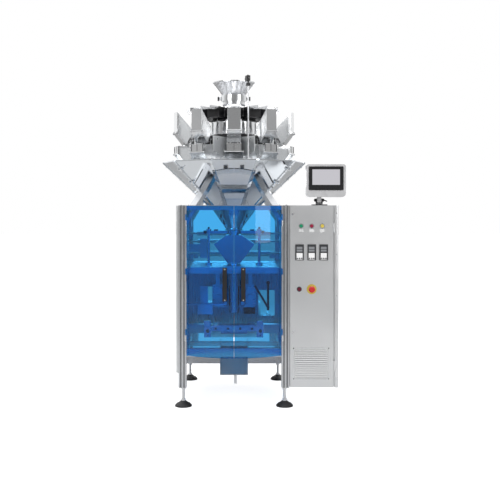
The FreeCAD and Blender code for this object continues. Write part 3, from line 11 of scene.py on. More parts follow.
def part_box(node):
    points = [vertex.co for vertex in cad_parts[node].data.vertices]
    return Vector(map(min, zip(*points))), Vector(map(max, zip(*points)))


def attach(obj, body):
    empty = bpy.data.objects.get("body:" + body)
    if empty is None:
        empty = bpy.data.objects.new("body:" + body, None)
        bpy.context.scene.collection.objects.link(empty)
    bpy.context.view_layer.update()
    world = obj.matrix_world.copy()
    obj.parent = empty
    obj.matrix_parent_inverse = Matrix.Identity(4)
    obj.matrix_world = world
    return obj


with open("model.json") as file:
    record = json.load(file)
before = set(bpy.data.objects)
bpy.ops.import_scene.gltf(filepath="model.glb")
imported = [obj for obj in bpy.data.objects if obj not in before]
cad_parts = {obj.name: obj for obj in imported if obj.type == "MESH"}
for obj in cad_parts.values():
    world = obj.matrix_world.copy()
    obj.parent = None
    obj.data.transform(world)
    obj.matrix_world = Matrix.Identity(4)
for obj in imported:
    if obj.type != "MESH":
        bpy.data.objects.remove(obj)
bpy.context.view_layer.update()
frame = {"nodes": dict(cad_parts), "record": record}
NODES = frame["nodes"]
MM = 0.001
random.seed(7)

# ---------------------------------------------------------------- places taken from the frame
TUBE_LOW, TUBE_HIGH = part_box("forming_tube")
AXIS_X = (TUBE_LOW[0] + TUBE_HIGH[0]) / 2
AXIS_Y = (TUBE_LOW[1] + TUBE_HIGH[1]) / 2
FRONT_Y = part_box("corner_posts")[0][1]
HEADS = 10
HEAD_STEP = math.radians(360 / HEADS)
MACHINE = "machine"


def at(x, y, z):
    """Row-frame place from millimetres: x from the weigher's axis, y from the posts' front, z from the floor."""
    return Vector((AXIS_X + x * MM, FRONT_Y + y * MM, z * MM))


def head_matrix(step):
    """Turns a head's own axes (+X outwards, origin on the weigher's axis) into the row frame, step heads from the front."""
    return Matrix.Translation((AXIS_X, AXIS_Y, 0)) @ Matrix.Rotation(-math.pi / 2 + step * HEAD_STEP, 4, "Z")


# Heights and places on the nodes, in drawing millimetres
def drawing_box(name):
    """Lowest and highest corner of a node in drawing millimetres."""
    origin = at(0, 0, 0)
    return tuple((Vector(corner) - origin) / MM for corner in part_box(name))


GASKET_TOP = 1733
CHEEK_SIDE = 37.8
FLAP_PIN = (397.3, 1602.2)
SENSOR_CLAMP = 2020
PANEL_FRONT = drawing_box("screen_panel")[0].y
START = (drawing_box("start_button")[0] + drawing_box("start_button")[1]) / 2
STOP = (drawing_box("stop_button")[0] + drawing_box("stop_button")[1]) / 2
E_STOP = (drawing_box("e_stop_button")[0] + drawing_box("e_stop_button")[1]) / 2
LAMP = STOP + (STOP - START)
PILOT = Vector((START.x - 12, 0, E_STOP.z))


def is_lamp(centre, place):
    """True near the round lamp at place, inside its bezel."""
    return math.hypot(centre.x - place.x, centre.z - place.z) < 15.5 and centre.y < -4.5


def is_collar(centre):
    return math.hypot(centre.x - E_STOP.x, centre.z - E_STOP.z) < 33


# ---------------------------------------------------------------- camera, light, surroundings
CAMERA_DISTANCE = 5250
CAMERA_HEIGHT = 1272
LENS = 60.0
SHIFT = (0.032, -0.09)
STUDIO_FRONT = 0.26
STUDIO_BACK = 0.95
STUDIO_CEILING = 0.55
STUDIO_LEFT = 0.10
STUDIO_LOW = 0.12
FLOOR_GLOW = 0.75


def make_camera():
    data = bpy.data.cameras.new("camera")
    data.lens = LENS
    data.sensor_width = 36.0
    data.shift_x, data.shift_y = SHIFT
    camera = bpy.data.objects.new("camera", data)
    camera.location = at(0, -CAMERA_DISTANCE, CAMERA_HEIGHT)
    camera.rotation_euler = (math.pi / 2, 0, 0)
    bpy.context.scene.collection.objects.link(camera)
    bpy.context.scene.camera = camera


def area_light(name, place, aim, size, power):
    data = bpy.data.lights.new(name, "AREA")
    data.shape = "RECTANGLE"
    data.size, data.size_y = size
    data.energy = power
    light = bpy.data.objects.new(name, data)
    light.location = place
    light.rotation_euler = (aim - place).to_track_quat("-Z", "Y").to_euler()
    bpy.context.scene.collection.objects.link(light)


def make_lights():
    middle = at(100, 300, 1100)
    area_light("key", at(-2600, -3000, 3200), middle, (2.2, 2.6), 70)
    area_light("fill", at(3000, -2600, 2200), middle, (2.0, 2.8), 40)
    area_light("top", at(0, 200, 4600), middle, (2.6, 2.6), 50)
    area_light("back", at(500, 4200, 2600), middle, (3.0, 2.4), 40)


def add_node(tree, kind, operation=None, **constants):
    """Shader node with numbered inputs set, as in i0=0.5."""
    node = tree.nodes.new(kind)
    if operation:
        node.operation = operation
    for name, value in constants.items():
        node.inputs[int(name[1:])].default_value = value
    return node


def ramp_between(tree, value, low, high, to_low, to_high):
    """Moves a value from low..high to to_low..to_high and holds it there."""
    node = tree.nodes.new("ShaderNodeMapRange")
    node.interpolation_type = "SMOOTHSTEP"
    for name, number in (("From Min", low), ("From Max", high), ("To Min", to_low), ("To Max", to_high)):
        node.inputs[name].default_value = number
    tree.links.new(value, node.inputs["Value"])
    return node.outputs["Result"]


def make_world():
    """White to the camera and through glass; to metal a studio with a bright back, a pale ceiling and a grey front."""
    world = bpy.data.worlds.new("studio")
    bpy.context.scene.world = world
    world.use_nodes = True
    tree = world.node_tree
    tree.nodes.clear()
    link = tree.links.new
    output = tree.nodes.new("ShaderNodeOutputWorld")
    path = tree.nodes.new("ShaderNodeLightPath")
    direction = tree.nodes.new("ShaderNodeTexCoord")
    axes = tree.nodes.new("ShaderNodeSeparateXYZ")
    link(direction.outputs["Generated"], axes.inputs[0])
    front_back = ramp_between(tree, axes.outputs["Y"], -0.5, 0.35, STUDIO_FRONT, STUDIO_BACK)
    ceiling = ramp_between(tree, axes.outputs["Z"], 0.30, 0.62, 0.0, STUDIO_CEILING)
    side = ramp_between(tree, axes.outputs["X"], -0.75, 0.9, STUDIO_LEFT, 0.0)
    low = ramp_between(tree, axes.outputs["Z"], -0.12, 0.02, STUDIO_LOW, 0.0)
    total = add_node(tree, "ShaderNodeMath", "ADD")
    link(front_back, total.inputs[0])
    link(ceiling, total.inputs[1])
    for extra in (side, low):
        step = add_node(tree, "ShaderNodeMath", "ADD")
        link(total.outputs[0], step.inputs[0])
        link(extra, step.inputs[1])
        total = step
    glossy = tree.nodes.new("ShaderNodeBackground")
    link(total.outputs[0], glossy.inputs["Strength"])
    soft = tree.nodes.new("ShaderNodeBackground")
    soft.inputs["Strength"].default_value = 0.42
    white = tree.nodes.new("ShaderNodeBackground")
    for shader in (glossy, soft, white):
        shader.inputs["Color"].default_value = (1, 1, 1, 1)
    straight = add_node(tree, "ShaderNodeMath", "MAXIMUM")
    link(path.outputs["Is Camera Ray"], straight.inputs[0])
    link(path.outputs["Is Transmission Ray"], straight.inputs[1])
    first = tree.nodes.new("ShaderNodeMixShader")
    link(path.outputs["Is Glossy Ray"], first.inputs["Fac"])
    link(soft.outputs[0], first.inputs[1])
    link(glossy.outputs[0], first.inputs[2])
    second = tree.nodes.new("ShaderNodeMixShader")
    link(straight.outputs[0], second.inputs["Fac"])
    link(first.outputs[0], second.inputs[1])
    link(white.outputs[0], second.inputs[2])
    link(second.outputs[0], output.inputs["Surface"])


def make_floor():
    """Pale floor that keeps a faint shadow of the machine."""
    mesh = bpy.data.meshes.new("floor")
    half = 30.0
    corners = [(-half, -half, 0), (half, -half, 0), (half, half, 0), (-half, half, 0)]
    mesh.from_pydata(corners, [], [(0, 1, 2, 3)])
    floor = bpy.data.objects.new("floor", mesh)
    floor.location = (0, 0, -0.0005)
    bpy.context.scene.collection.objects.link(floor)
    material = bpy.data.materials.new("floor")
    material.use_nodes = True
    tree = material.node_tree
    shader = tree.nodes["Principled BSDF"]
    shader.inputs["Base Color"].default_value = (0.85, 0.85, 0.85, 1)
    shader.inputs["Roughness"].default_value = 0.7
    shader.inputs["Emission Color"].default_value = (1, 1, 1, 1)
    path = tree.nodes.new("ShaderNodeLightPath")
    shown = add_node(tree, "ShaderNodeMath", "MULTIPLY", i1=FLOOR_GLOW)
    tree.links.new(path.outputs["Is Camera Ray"], shown.inputs[0])
    tree.links.new(shown.outputs[0], shader.inputs["Emission Strength"])
    mesh.materials.append(material)


# ---------------------------------------------------------------- materials
MATERIALS = {}


def material(name):
    """New node material with its principled shader and a node maker."""
    made = bpy.data.materials.new(name)
    made.use_nodes = True
    tree = made.node_tree
    shader = tree.nodes["Principled BSDF"]
    MATERIALS[name] = made
    return made, tree, shader


def coordinates(tree, scale):
    """Object coordinates, in metres times scale."""
    source = tree.nodes.new("ShaderNodeTexCoord")
    mapping = tree.nodes.new("ShaderNodeMapping")
    mapping.inputs["Scale"].default_value = scale
    tree.links.new(source.outputs["Object"], mapping.inputs["Vector"])
    return mapping.outputs["Vector"]


def noise(tree, scale, detail=3.0, size=1.0, distortion=0.0):
    """Noise over stretched object coordinates."""
    texture = tree.nodes.new("ShaderNodeTexNoise")
    texture.inputs["Scale"].default_value = size
    texture.inputs["Detail"].default_value = detail
    texture.inputs["Distortion"].default_value = distortion
    tree.links.new(coordinates(tree, scale), texture.inputs["Vector"])
    return texture.outputs["Fac"]


def spread(tree, value, low, high, from_low=0.3, from_high=0.7):
    """Value from a texture moved to the range low..high."""
    node = tree.nodes.new("ShaderNodeMapRange")
    node.inputs["From Min"].default_value = from_low
    node.inputs["From Max"].default_value = from_high
    node.inputs["To Min"].default_value = low
    node.inputs["To Max"].default_value = high
    tree.links.new(value, node.inputs["Value"])
    return node.outputs["Result"]


def two_colours(tree, value, dark, light, from_low=0.3, from_high=0.7):
    """Colour between two tints, led by a texture."""
    ramp = tree.nodes.new("ShaderNodeValToRGB")
    ramp.color_ramp.elements[0].position = from_low
    ramp.color_ramp.elements[1].position = from_high
    ramp.color_ramp.elements[0].color = (*dark, 1)
    ramp.color_ramp.elements[1].color = (*light, 1)
    tree.links.new(value, ramp.inputs["Fac"])
    return ramp.outputs["Color"]


def bump(tree, shader, height, strength, distance, before=None):
    node = tree.nodes.new("ShaderNodeBump")
    node.inputs["Strength"].default_value = strength
    node.inputs["Distance"].default_value = distance
    tree.links.new(height, node.inputs["Height"])
    if before is not None:
        tree.links.new(before, node.inputs["Normal"])
    tree.links.new(node.outputs["Normal"], shader.inputs["Normal"])
    return node.outputs["Normal"]


def brushed(name, dark, light, rough=(0.22, 0.36), grain=(900, 900, 9), cloud=(1.5, 1.5, 2.5)):
    """Brushed stainless steel: fine grain along one axis and slow tone changes."""
    made, tree, shader = material(name)
    shader.inputs["Metallic"].default_value = 1.0
    slow = noise(tree, cloud, 2.0)
    fine = noise(tree, grain, 2.0)
    tree.links.new(two_colours(tree, slow, dark, light), shader.inputs["Base Color"])
    tree.links.new(spread(tree, fine, *rough), shader.inputs["Roughness"])
    bump(tree, shader, fine, 0.12, 0.0004)
    return made


def mirror(name, tint, rough=0.03, wave=0.02, size=5.0):
    """Mirror-polished sheet that is never quite flat."""
    made, tree, shader = material(name)
    shader.inputs["Metallic"].default_value = 1.0
    shader.inputs["Base Color"].default_value = (*tint, 1)
    slow = noise(tree, (size, size, size), 1.5)
    haze = noise(tree, (40, 40, 40), 3.0)
    tree.links.new(spread(tree, haze, rough, rough + 0.04), shader.inputs["Roughness"])
    bump(tree, shader, slow, wave, 0.02)
    return made


def dimpled(name, tint, pitch=0.006, strength=0.6):
    """Embossed stainless sheet with small round dimples."""
    made, tree, shader = material(name)
    shader.inputs["Metallic"].default_value = 1.0
    cells = tree.nodes.new("ShaderNodeTexVoronoi")
    cells.feature = "SMOOTH_F1"
    cells.inputs["Scale"].default_value = 1.0
    cells.inputs["Smoothness"].default_value = 0.6
    density = 1.0 / pitch
    tree.links.new(coordinates(tree, (density, density, density)), cells.inputs["Vector"])
    slow = noise(tree, (14, 14, 14), 2.0)
    dark = tuple(0.72 * part for part in tint)
    tree.links.new(two_colours(tree, slow, dark, tint), shader.inputs["Base Color"])
    tree.links.new(spread(tree, slow, 0.10, 0.20), shader.inputs["Roughness"])
    bump(tree, shader, cells.outputs["Distance"], strength, pitch * 0.25)
    return made


def plastic(name, colour, rough=0.4, grain=700, strength=0.15, coat=0.0):
    """Moulded plastic or rubber with a fine texture and slight unevenness."""
    made, tree, shader = material(name)
    fine = noise(tree, (grain, grain, grain), 2.0)
    slow = noise(tree, (9, 9, 9), 2.0)
    dark = tuple(0.8 * part for part in colour)
    tree.links.new(two_colours(tree, slow, dark, colour), shader.inputs["Base Color"])
    tree.links.new(spread(tree, slow, rough * 0.85, rough * 1.15), shader.inputs["Roughness"])
    shader.inputs["Coat Weight"].default_value = coat
    bump(tree, shader, fine, strength, 0.0003)
    return made


def acrylic(name, tint):
    """Clear tinted sheet; its shadow lets the tinted light through."""
    made, tree, shader = material(name)
    shader.inputs["Base Color"].default_value = (*tint, 1)
    shader.inputs["Transmission Weight"].default_value = 1.0
    shader.inputs["IOR"].default_value = 1.49
    haze = noise(tree, (5, 5, 5), 2.0)
    tree.links.new(spread(tree, haze, 0.0, 0.02), shader.inputs["Roughness"])
    clear = tree.nodes.new("ShaderNodeBsdfTransparent")
    clear.inputs["Color"].default_value = (*tint, 1)
    path = tree.nodes.new("ShaderNodeLightPath")
    mix = tree.nodes.new("ShaderNodeMixShader")
    output = tree.nodes["Material Output"]
    tree.links.new(path.outputs["Is Shadow Ray"], mix.inputs["Fac"])
    tree.links.new(shader.outputs[0], mix.inputs[1])
    tree.links.new(clear.outputs[0], mix.inputs[2])
    tree.links.new(mix.outputs[0], output.inputs["Surface"])
    return made


def glow(name, colour, strength, back=(0.02, 0.02, 0.02)):
    """Lit face of a display or a lamp; the keypads get it too, as painted light on parts that are no lamp."""
    made, tree, shader = material(name)
    shader.inputs["Base Color"].default_value = (*back, 1)
    shader.inputs["Roughness"].default_value = 0.25
    shader.inputs["Emission Color"].default_value = (*colour, 1)
    shader.inputs["Emission Strength"].default_value = strength
    slow = noise(tree, (30, 30, 30), 1.0)
    bump(tree, shader, slow, 0.05, 0.0002)
    return made


def make_materials():
    brushed("frame_steel", (0.54, 0.55, 0.57), (0.68, 0.69, 0.71))
    brushed("panel_steel", (0.74, 0.75, 0.76), (0.86, 0.87, 0.88), rough=(0.30, 0.42))
    brushed("rail_steel", (0.50, 0.51, 0.53), (0.66, 0.67, 0.69), grain=(9, 900, 900))
    brushed("bright_steel", (0.62, 0.63, 0.65), (0.78, 0.79, 0.80), rough=(0.10, 0.20), grain=(60, 60, 900))
    brushed("plain_hopper", (0.66, 0.67, 0.68), (0.84, 0.85, 0.86), rough=(0.12, 0.22), grain=(500, 500, 500))
    mirror("mirror_steel", (0.72, 0.75, 0.78))
    dimpled("hopper_steel", (0.82, 0.83, 0.85))
    brushed("aluminium", (0.60, 0.61, 0.63), (0.74, 0.75, 0.77), rough=(0.3, 0.42))
    plastic("dark_metal", (0.05, 0.05, 0.055), 0.35)
    plastic("black_rubber", (0.02, 0.02, 0.022), 0.55)
    plastic("belt_rubber", (0.05, 0.05, 0.055), 0.6)
    plastic("black_plastic", (0.012, 0.012, 0.014), 0.38)
    plastic("dark_plastic", (0.05, 0.052, 0.058), 0.4)
    plastic("black_gloss", (0.012, 0.012, 0.014), 0.12, strength=0.02, coat=0.5)
    plastic("white_plastic", (0.82, 0.83, 0.83), 0.35)
    plastic("case_plastic", (0.66, 0.66, 0.67), 0.3, strength=0.05, coat=0.3)
    plastic("green_plastic", (0.01, 0.30, 0.14), 0.2, strength=0.03, coat=0.4)
    plastic("red_plastic", (0.72, 0.02, 0.02), 0.2, strength=0.03, coat=0.4)
    plastic("crimson", (0.34, 0.01, 0.05), 0.2, strength=0.03, coat=0.4)
    plastic("yellow_plastic", (0.80, 0.62, 0.10), 0.25, strength=0.03, coat=0.3)
    plastic("dark_red", (0.16, 0.01, 0.03), 0.2, strength=0.03, coat=0.4)
    plastic("film_white", (0.80, 0.82, 0.84), 0.25, strength=0.05)
    # dark plastic for the seams on the weigh hoppers, and painted shade at the bottoms of the post grooves
    plastic("groove_shade_and_seam_dark", (0.10, 0.105, 0.11), 0.5)
    acrylic("blue_acrylic", (0.05, 0.42, 0.86))
    glow("display", (0.56, 0.55, 0.59), 0.95)
    glow("readout", (0.42, 0.44, 0.47), 0.55)
    # the keypad glow is painted light: the keypads are no lamp
    glow("keypad", (0.80, 0.80, 0.80), 0.35, back=(0.7, 0.7, 0.7))


INSTEAD = {
    "frame_rails": "rail_steel", "feed_hoppers": "plain_hopper", "weigh_hoppers": "plain_hopper",
    "fixed_gates": "plain_hopper", "top_cone": "plain_hopper", "screen_housing": "case_plastic",
    "stop_button": "crimson", "weigher_housing": "bright_steel",
}


def dress_nodes():
    """Material and softened edges for every CAD node."""
    own = {entry["node"]: entry["material_slot"] for entry in frame["record"]["subparts"]}
    for name, node in NODES.items():
        chosen = "plain_hopper" if name.startswith("weigh_gate") else INSTEAD.get(name, own[name])
        node.data.materials.clear()
        node.data.materials.append(MATERIALS[chosen])
        for face in node.data.polygons:
            face.material_index = 0
        soften(node, 0.0008)


def soften(node, width):
    """Weld, bevel and smooth a node without touching its own vertices; flat faces stay flat."""
    weld = node.modifiers.new("weld", "WELD")
    weld.merge_threshold = 0.00002
    bevel = node.modifiers.new("bevel", "BEVEL")
    bevel.width = width
    bevel.segments = 2
    bevel.limit_method = "ANGLE"
    bevel.angle_limit = math.radians(35)
    even = node.modifiers.new("even", "WEIGHTED_NORMAL")
    even.mode = "FACE_AREA"
    even.weight = 100
    even.keep_sharp = True
    for face in node.data.polygons:
        face.use_smooth = True


def paint(name, material_name, chosen):
    """Gives the faces of a node for which chosen(centre, normal) is true another material; centre is in drawing mm."""
    mesh = NODES[name].data
    mesh.materials.append(MATERIALS[material_name])
    index = len(mesh.materials) - 1
    origin = at(0, 0, 0)
    for face in mesh.polygons:
        if chosen((face.center - origin) / MM, face.normal):
            face.material_index = index


def paint_nodes():
    """Parts of nodes that are of another stuff than the rest, and painted shade at the bottoms of the corner posts'
    grooves.
    """
    paint("housing_dome", "black_rubber", lambda c, n: c.z < GASKET_TOP)
    paint("level_sensor", "black_plastic", lambda c, n: c.z > SENSOR_CLAMP)
    paint("screen_panel", "display", lambda c, n: n.y < -0.9 and c.y > PANEL_FRONT + 0.5)
    # the recessed bottoms of the grooves in the corner posts are painted dark as shade
    paint("corner_posts", "groove_shade_and_seam_dark", lambda c, n: n.y < -0.9 and 1 < c.y < 10)
    paint("button_bezels", "yellow_plastic", lambda c, n: is_lamp(c, LAMP) or is_collar(c))
    paint("button_bezels", "dark_red", lambda c, n: is_lamp(c, PILOT))
    paint("button_bezels", "bright_steel", lambda c, n: c.z > 1000 and not is_lamp(c, LAMP))


# ---------------------------------------------------------------- making pieces
BASE = Matrix.Translation(at(0, 0, 0)) @ Matrix.Scale(MM, 4)


def head_base(step):
    """Drawing millimetres on a head, +X outwards from the weigher's axis, to the row frame."""
    return head_matrix(step) @ Matrix.Scale(MM, 4)


class Piece:
    """A mesh made of small solids given in millimetres."""

    def __init__(self, name, body=MACHINE):
        self.name = name
        self.body = body
        self.mesh = bmesh.new()

    def place(self, verts, matrix):
        bmesh.ops.transform(self.mesh, matrix=matrix, verts=verts)

    def box(self, low, high, base=BASE, turn=None):
        """Box between two corners, turned about its own middle by the matrix turn."""
        middle = [(a + b) / 2 for a, b in zip(low, high)]
        size = [abs(b - a) for a, b in zip(low, high)]
        made = bmesh.ops.create_cube(self.mesh, size=1.0)["verts"]
        local = Matrix.Translation(middle) @ (turn or Matrix.Identity(4)) @ Matrix.Diagonal((*size, 1))
        self.place(made, base @ local)

    def rod(self, start, end, radius, base=BASE, sides=20, radius_end=None):
        """Round bar, or a cone if radius_end is given."""
        start, end = Vector(start), Vector(end)
        along = end - start
        last = radius if radius_end is None else radius_end
        made = bmesh.ops.create_cone(self.mesh, cap_ends=True, segments=sides, radius1=radius, radius2=last,
                                     depth=along.length)["verts"]
        aim = along.to_track_quat("Z", "Y").to_matrix().to_4x4()
        self.place(made, base @ Matrix.Translation((start + end) / 2) @ aim)

    def bolt(self, place, axis, radius=4.0, height=3.5, base=BASE):
        """Washer and hexagon head on a face whose outward axis is given."""
        place, axis = Vector(place), Vector(axis).normalized()
        self.rod(place - axis * 0.3, place + axis * 0.9, radius * 1.35, base, 16)
        self.rod(place, place + axis * height, radius, base, 6)

    def coil(self, start, end, radius, wire, turns, base=BASE):
        """Helical spring between two points."""
        start, end = Vector(start), Vector(end)
        aim = (end - start).to_track_quat("Z", "Y").to_matrix()
        length = (end - start).length
        steps = int(turns * 12)
        rings = []
        for index in range(steps + 1):
            angle = 2 * math.pi * turns * index / steps
            out = Vector((math.cos(angle), math.sin(angle), 0))
            middle = out * radius + Vector((0, 0, length * index / steps))
            ring = []
            for corner in range(6):
                turn = math.pi / 3 * corner
                point = middle + out * wire * math.cos(turn) + Vector((0, 0, wire * math.sin(turn)))
                ring.append(self.mesh.verts.new(base @ (start + aim @ point)))
            rings.append(ring)
        for low, high in zip(rings, rings[1:]):
            for corner in range(6):
                after = (corner + 1) % 6
                self.mesh.faces.new((low[corner], low[after], high[after], high[corner]))
        self.mesh.faces.new(rings[0][::-1])
        self.mesh.faces.new(rings[-1])

    def done(self, material_name, width=0.4):
        """Finishes the piece: normals, a fine bevel, material and body."""
        bmesh.ops.recalc_face_normals(self.mesh, faces=self.mesh.faces)
        data = bpy.data.meshes.new(self.name)
        self.mesh.to_mesh(data)
        self.mesh.free()
        made = bpy.data.objects.new(self.name, data)
        bpy.context.scene.collection.objects.link(made)
        data.materials.append(MATERIALS[material_name])
        for face in data.polygons:
            face.use_smooth = True
        bevel = made.modifiers.new("bevel", "BEVEL")
        bevel.width = width * MM
        bevel.segments = 1
        bevel.limit_method = "ANGLE"
        bevel.angle_limit = math.radians(50)
        even = made.modifiers.new("even", "WEIGHTED_NORMAL")
        even.keep_sharp = True
        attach(made, self.body)
        return made


# ---------------------------------------------------------------- weigher
def dress_weigher():
    """Actuators, hinges, springs and screws of the ten heads; the black actuator plates also stand for the shade under
    the feed hoppers.
    """
    faces = Piece("actuator_plates_painted_shade")
    rollers = Piece("actuator_rollers")
    pins = Piece("hopper_pins")
    springs = Piece("hopper_springs")
    seams = Piece("weigh_hopper_seams")
    screws = Piece("weigher_screws")
    springs_leaf = Piece("vibrator_springs")
    for step in range(HEADS):
        base = head_base(step)
        for y0, y1 in ((-41, -29), (-19, 19), (29, 41)):
            # black plates across each head under the feed hopper: partly a real actuator front and partly painted
            # shade for the hopper's shaded lower part
            faces.box((285.3, y0, 1660), (288.0, y1, 1711), base)
        faces.rod((288, 0, 1697), (292, 0, 1697), 9, base)
        for side in (-1, 1):
            rollers.rod((288, side * 12, 1674), (301, side * 12, 1674), 6.5, base)
            rollers.rod((288, side * 35, 1690), (295, side * 35, 1690), 4.5, base)
            rollers.box((289, side * 12 - 3, 1674), (292, side * 12 + 3, 1699), base)
            pins.rod((402, side * 47, 1737), (402, side * 41, 1737), 6, base)
            pins.box((388, side * 41.2 - 1, 1729), (404, side * 41.2 + 1, 1748), base)
            springs.coil((386, side * 46, 1796), (400, side * 46, 1740), 3.6, 1.0, 9, base)
            pins.rod((386, side * 40, 1797), (386, side * 49, 1797), 2.5, base)
            seams.box((394.8, side * 46.2 - 2.2, 1610), (397.4, side * 46.2 + 2.2, 1652), base)
            for z in (1602, 1697):
                screws.bolt((240, side * 44, z), (0, side, 0), 4, 3, base)
            springs_leaf.box((150, side * CHEEK_SIDE - 1, 1846), (154, side * CHEEK_SIDE + 1, 1898), base)
            screws.bolt((152, side * (CHEEK_SIDE + 1), 1855), (0, side, 0), 3.2, 2.5, base)
            screws.bolt((152, side * (CHEEK_SIDE + 1), 1890), (0, side, 0), 3.2, 2.5, base)
        pins.rod((403, -44, 1737), (403, 44, 1737), 2.6, base)
        seams.box((394.8, -1.6, 1610), (396.4, 1.6, 1654), base)
        for z in (1530, 1560, 1662, 1690):
            screws.bolt((124.2, 0, z), (1, 0, 0), 3.5, 2.5, head_base(step + 0.5) @ Matrix.Translation((0, 8, 0)))
    faces.done("black_plastic")
    rollers.done("bright_steel")
    pins.done("bright_steel")
    springs.done("bright_steel", 0.05)
    seams.done("groove_shade_and_seam_dark", 0.1)
    screws.done("bright_steel", 0.2)
    springs_leaf.done("aluminium", 0.2)
    for number, step in enumerate((-2, -1, 0, 1, 2), start=1):
        hinge = Piece("weigh_gate_%d_pin" % number, "weigh_gate_%d" % number)
        add_gate_pin(hinge, head_base(step))
        hinge.done("bright_steel", 0.2)
    rear = Piece("rear_gate_pins")
    for step in (3, 4, 5, 6, 7):
        add_gate_pin(rear, head_base(step))
    rear.done("bright_steel", 0.2)
    dress_infeed()


def add_gate_pin(piece, base):
    """Hinge pin with end collars along the top of a weigh flap."""
    radius, z = FLAP_PIN
    piece.rod((radius, -58, z), (radius, 58, z), 2.2, base)
    for side in (-1, 1):
        piece.rod((radius, side * 53, z), (radius, side * 60, z), 5, base)


def dress_infeed():
    """Knobs of the collar, studs on the funnel and the sensor's lens and gland."""
    knobs = Piece("collar_knobs")
    studs = Piece("infeed_studs")
    collar_top = drawing_box("infeed_collar")[1].z
    z = collar_top - 20
    for side in (-1, 1):
        for index in range(8):
            angle = math.pi / 4 * index
            y, dz = 10.5 * math.cos(angle), 10.5 * math.sin(angle)
            knobs.rod((side * 97, 300 + y, z + dz), (side * 109, 300 + y, z + dz), 3.2, BASE, 12)
    for index in range(12):
        base = Matrix.Translation(at(0, 300, 0)) @ Matrix.Rotation(math.pi / 6 * (index + 0.5), 4, "Z")
        studs.bolt((89, 0, collar_top - 30), (1, 0, 0), 3.4, 3, base @ Matrix.Scale(MM, 4))
        studs.bolt((89, 0, collar_top - 12), (1, 0, 0), 3.4, 3, base @ Matrix.Scale(MM, 4))
    knobs.done("black_plastic")
    studs.done("bright_steel", 0.2)
    gland = Piece("sensor_lens")
    base = head_base(0.5)
    gland.rod((247.2, 0, 2075), (242, 0, 2075), 7, base)
    gland.rod((300.8, 0, 2075), (309, 0, 2075), 6, base)
    gland.rod((286, 0, 2092), (286, 0, 2097), 5, base)
    gland.done("black_gloss", 0.3)


# ---------------------------------------------------------------- collecting funnel
FUNNEL_LOW = (160.0, 1252.0)
FUNNEL_HIGH = (474.0, 1546.0)


def dress_funnel():
    """Cap nuts along the strips, toggle clamps and the bolts of the lower flange."""
    run = Vector((FUNNEL_HIGH[0] - FUNNEL_LOW[0], 0, FUNNEL_HIGH[1] - FUNNEL_LOW[1]))
    out = Vector((run.z, 0, -run.x)).normalized()
    nuts = Piece("funnel_nuts")
    clamps = Piece("funnel_clamps")
    flange = Piece("flange_bolts")
    for step in range(HEADS):
        base = head_base(step + 0.5)
        for share in (0.08, 0.22, 0.36, 0.50, 0.64, 0.78, 0.92):
            place = Vector((FUNNEL_LOW[0], 0, FUNNEL_LOW[1])) + run * share
            for side in (-6, 6):
                nuts.bolt(place + Vector((0, side, 0)), out, 3.2, 3.5, base)
        if step in (1, 8):
            for share in (0.30, 0.57, 0.84):
                place = Vector((FUNNEL_LOW[0], 0, FUNNEL_LOW[1])) + run * share
                add_clamp(clamps, place, run.normalized(), out, base)
        flange.bolt((157, 0, 1246.2), (0, 0, -1), 4, 4, head_base(step))
    nuts.done("bright_steel", 0.2)
    clamps.done("bright_steel", 0.3)
    flange.done("bright_steel", 0.2)


def add_clamp(piece, place, along, out, base):
    """Toggle clamp across a strip of the funnel: body, handle and hook."""
    across = Vector((0, 1, 0))
    for side in (-1, 1):
        middle = place + across * side * 15 + out * 4
        piece.rod(middle - along * 9, middle + along * 9, 4.5, base, 12)
        piece.rod(middle - out * 10.6, middle + out * 5, 3, base, 12)
    piece.rod(place - across * 15 + out * 8, place + across * 19 + out * 10, 2.5, base, 12)
    piece.rod(place + across * 15 + out * 8, place + across * 34 + out * 17, 3.4, base, 12)


# ---------------------------------------------------------------- cabinet
def dress_cabinet():
    """Legend plates, instrument fronts, vent frame and screws on the cabinet door."""
    door = "cabinet_door"
    legends = Piece("legend_plates", door)
    holders = Piece("legend_holders", door)
    for place in (START, STOP, LAMP):
        holders.box((place.x - 16.5, -1.6, place.z - 40), (place.x + 16.5, -0.1, place.z - 18))
        legends.box((place.x - 14, -2.2, place.z - 37.5), (place.x + 14, -1.4, place.z - 20.5))
    holders.done("case_plastic", 0.5)
    legends.done("white_plastic", 0.3)
    readouts = Piece("controller_readouts", door)
    keypads = Piece("controller_keypads", door)
    keys = Piece("controller_keys", door)
    low, high = drawing_box("temperature_controllers")
    middle = (low.x + high.x) / 2
    pitch = (high.x - low.x - 54) / 2
    for index in (-1, 0, 1):
        x = middle + index * pitch
        for z0, z1 in ((995, 1009), (979, 991)):
            readouts.box((x - 18, low.y + 0.2, z0), (x + 18, low.y + 2.2, z1))
        # the keypads glow with painted light so that they look brighter
        keypads.box((x - 19, low.y - 0.6, 929), (x + 19, low.y + 1.4, 970))
        for column in (-13, 0, 13):
            keys.box((x + column - 4.5, low.y - 1.4, 932), (x + column + 4.5, low.y - 0.5, 940))
    readouts.done("readout", 0.2)
    keypads.done("keypad", 0.5)
    keys.done("dark_plastic", 0.4)
    vent = Piece("vent_frame", door)
    x0, x1, z0, z1 = 373, 600, 174, 373
    for a, b in (((x0, z0), (x1, z0 + 6)), ((x0, z1 - 8), (x1, z1)), ((x0, z0), (x0 + 6, z1)), ((x1 - 6, z0), (x1, z1))):
        vent.box((a[0], -1.5, a[1]), (b[0], 0.1, b[1]))
    vent.done("bright_steel", 0.4)
    locks = Piece("cabinet_locks", door)
    for z in (470, 1215):
        locks.rod((371, -3, z), (371, 0.2, z), 8, BASE, 28)
        locks.box((370, -4.2, z - 5), (372, -2.8, z + 5))
    locks.done("bright_steel", 0.4)
    cover = Piece("cabinet_screws")
    for z in (180, 440, 700, 960, 1220):
        cover.bolt((647, 0.2, z), (0, -1, 0), 2.6, 1.6)
    cover.done("bright_steel", 0.2)


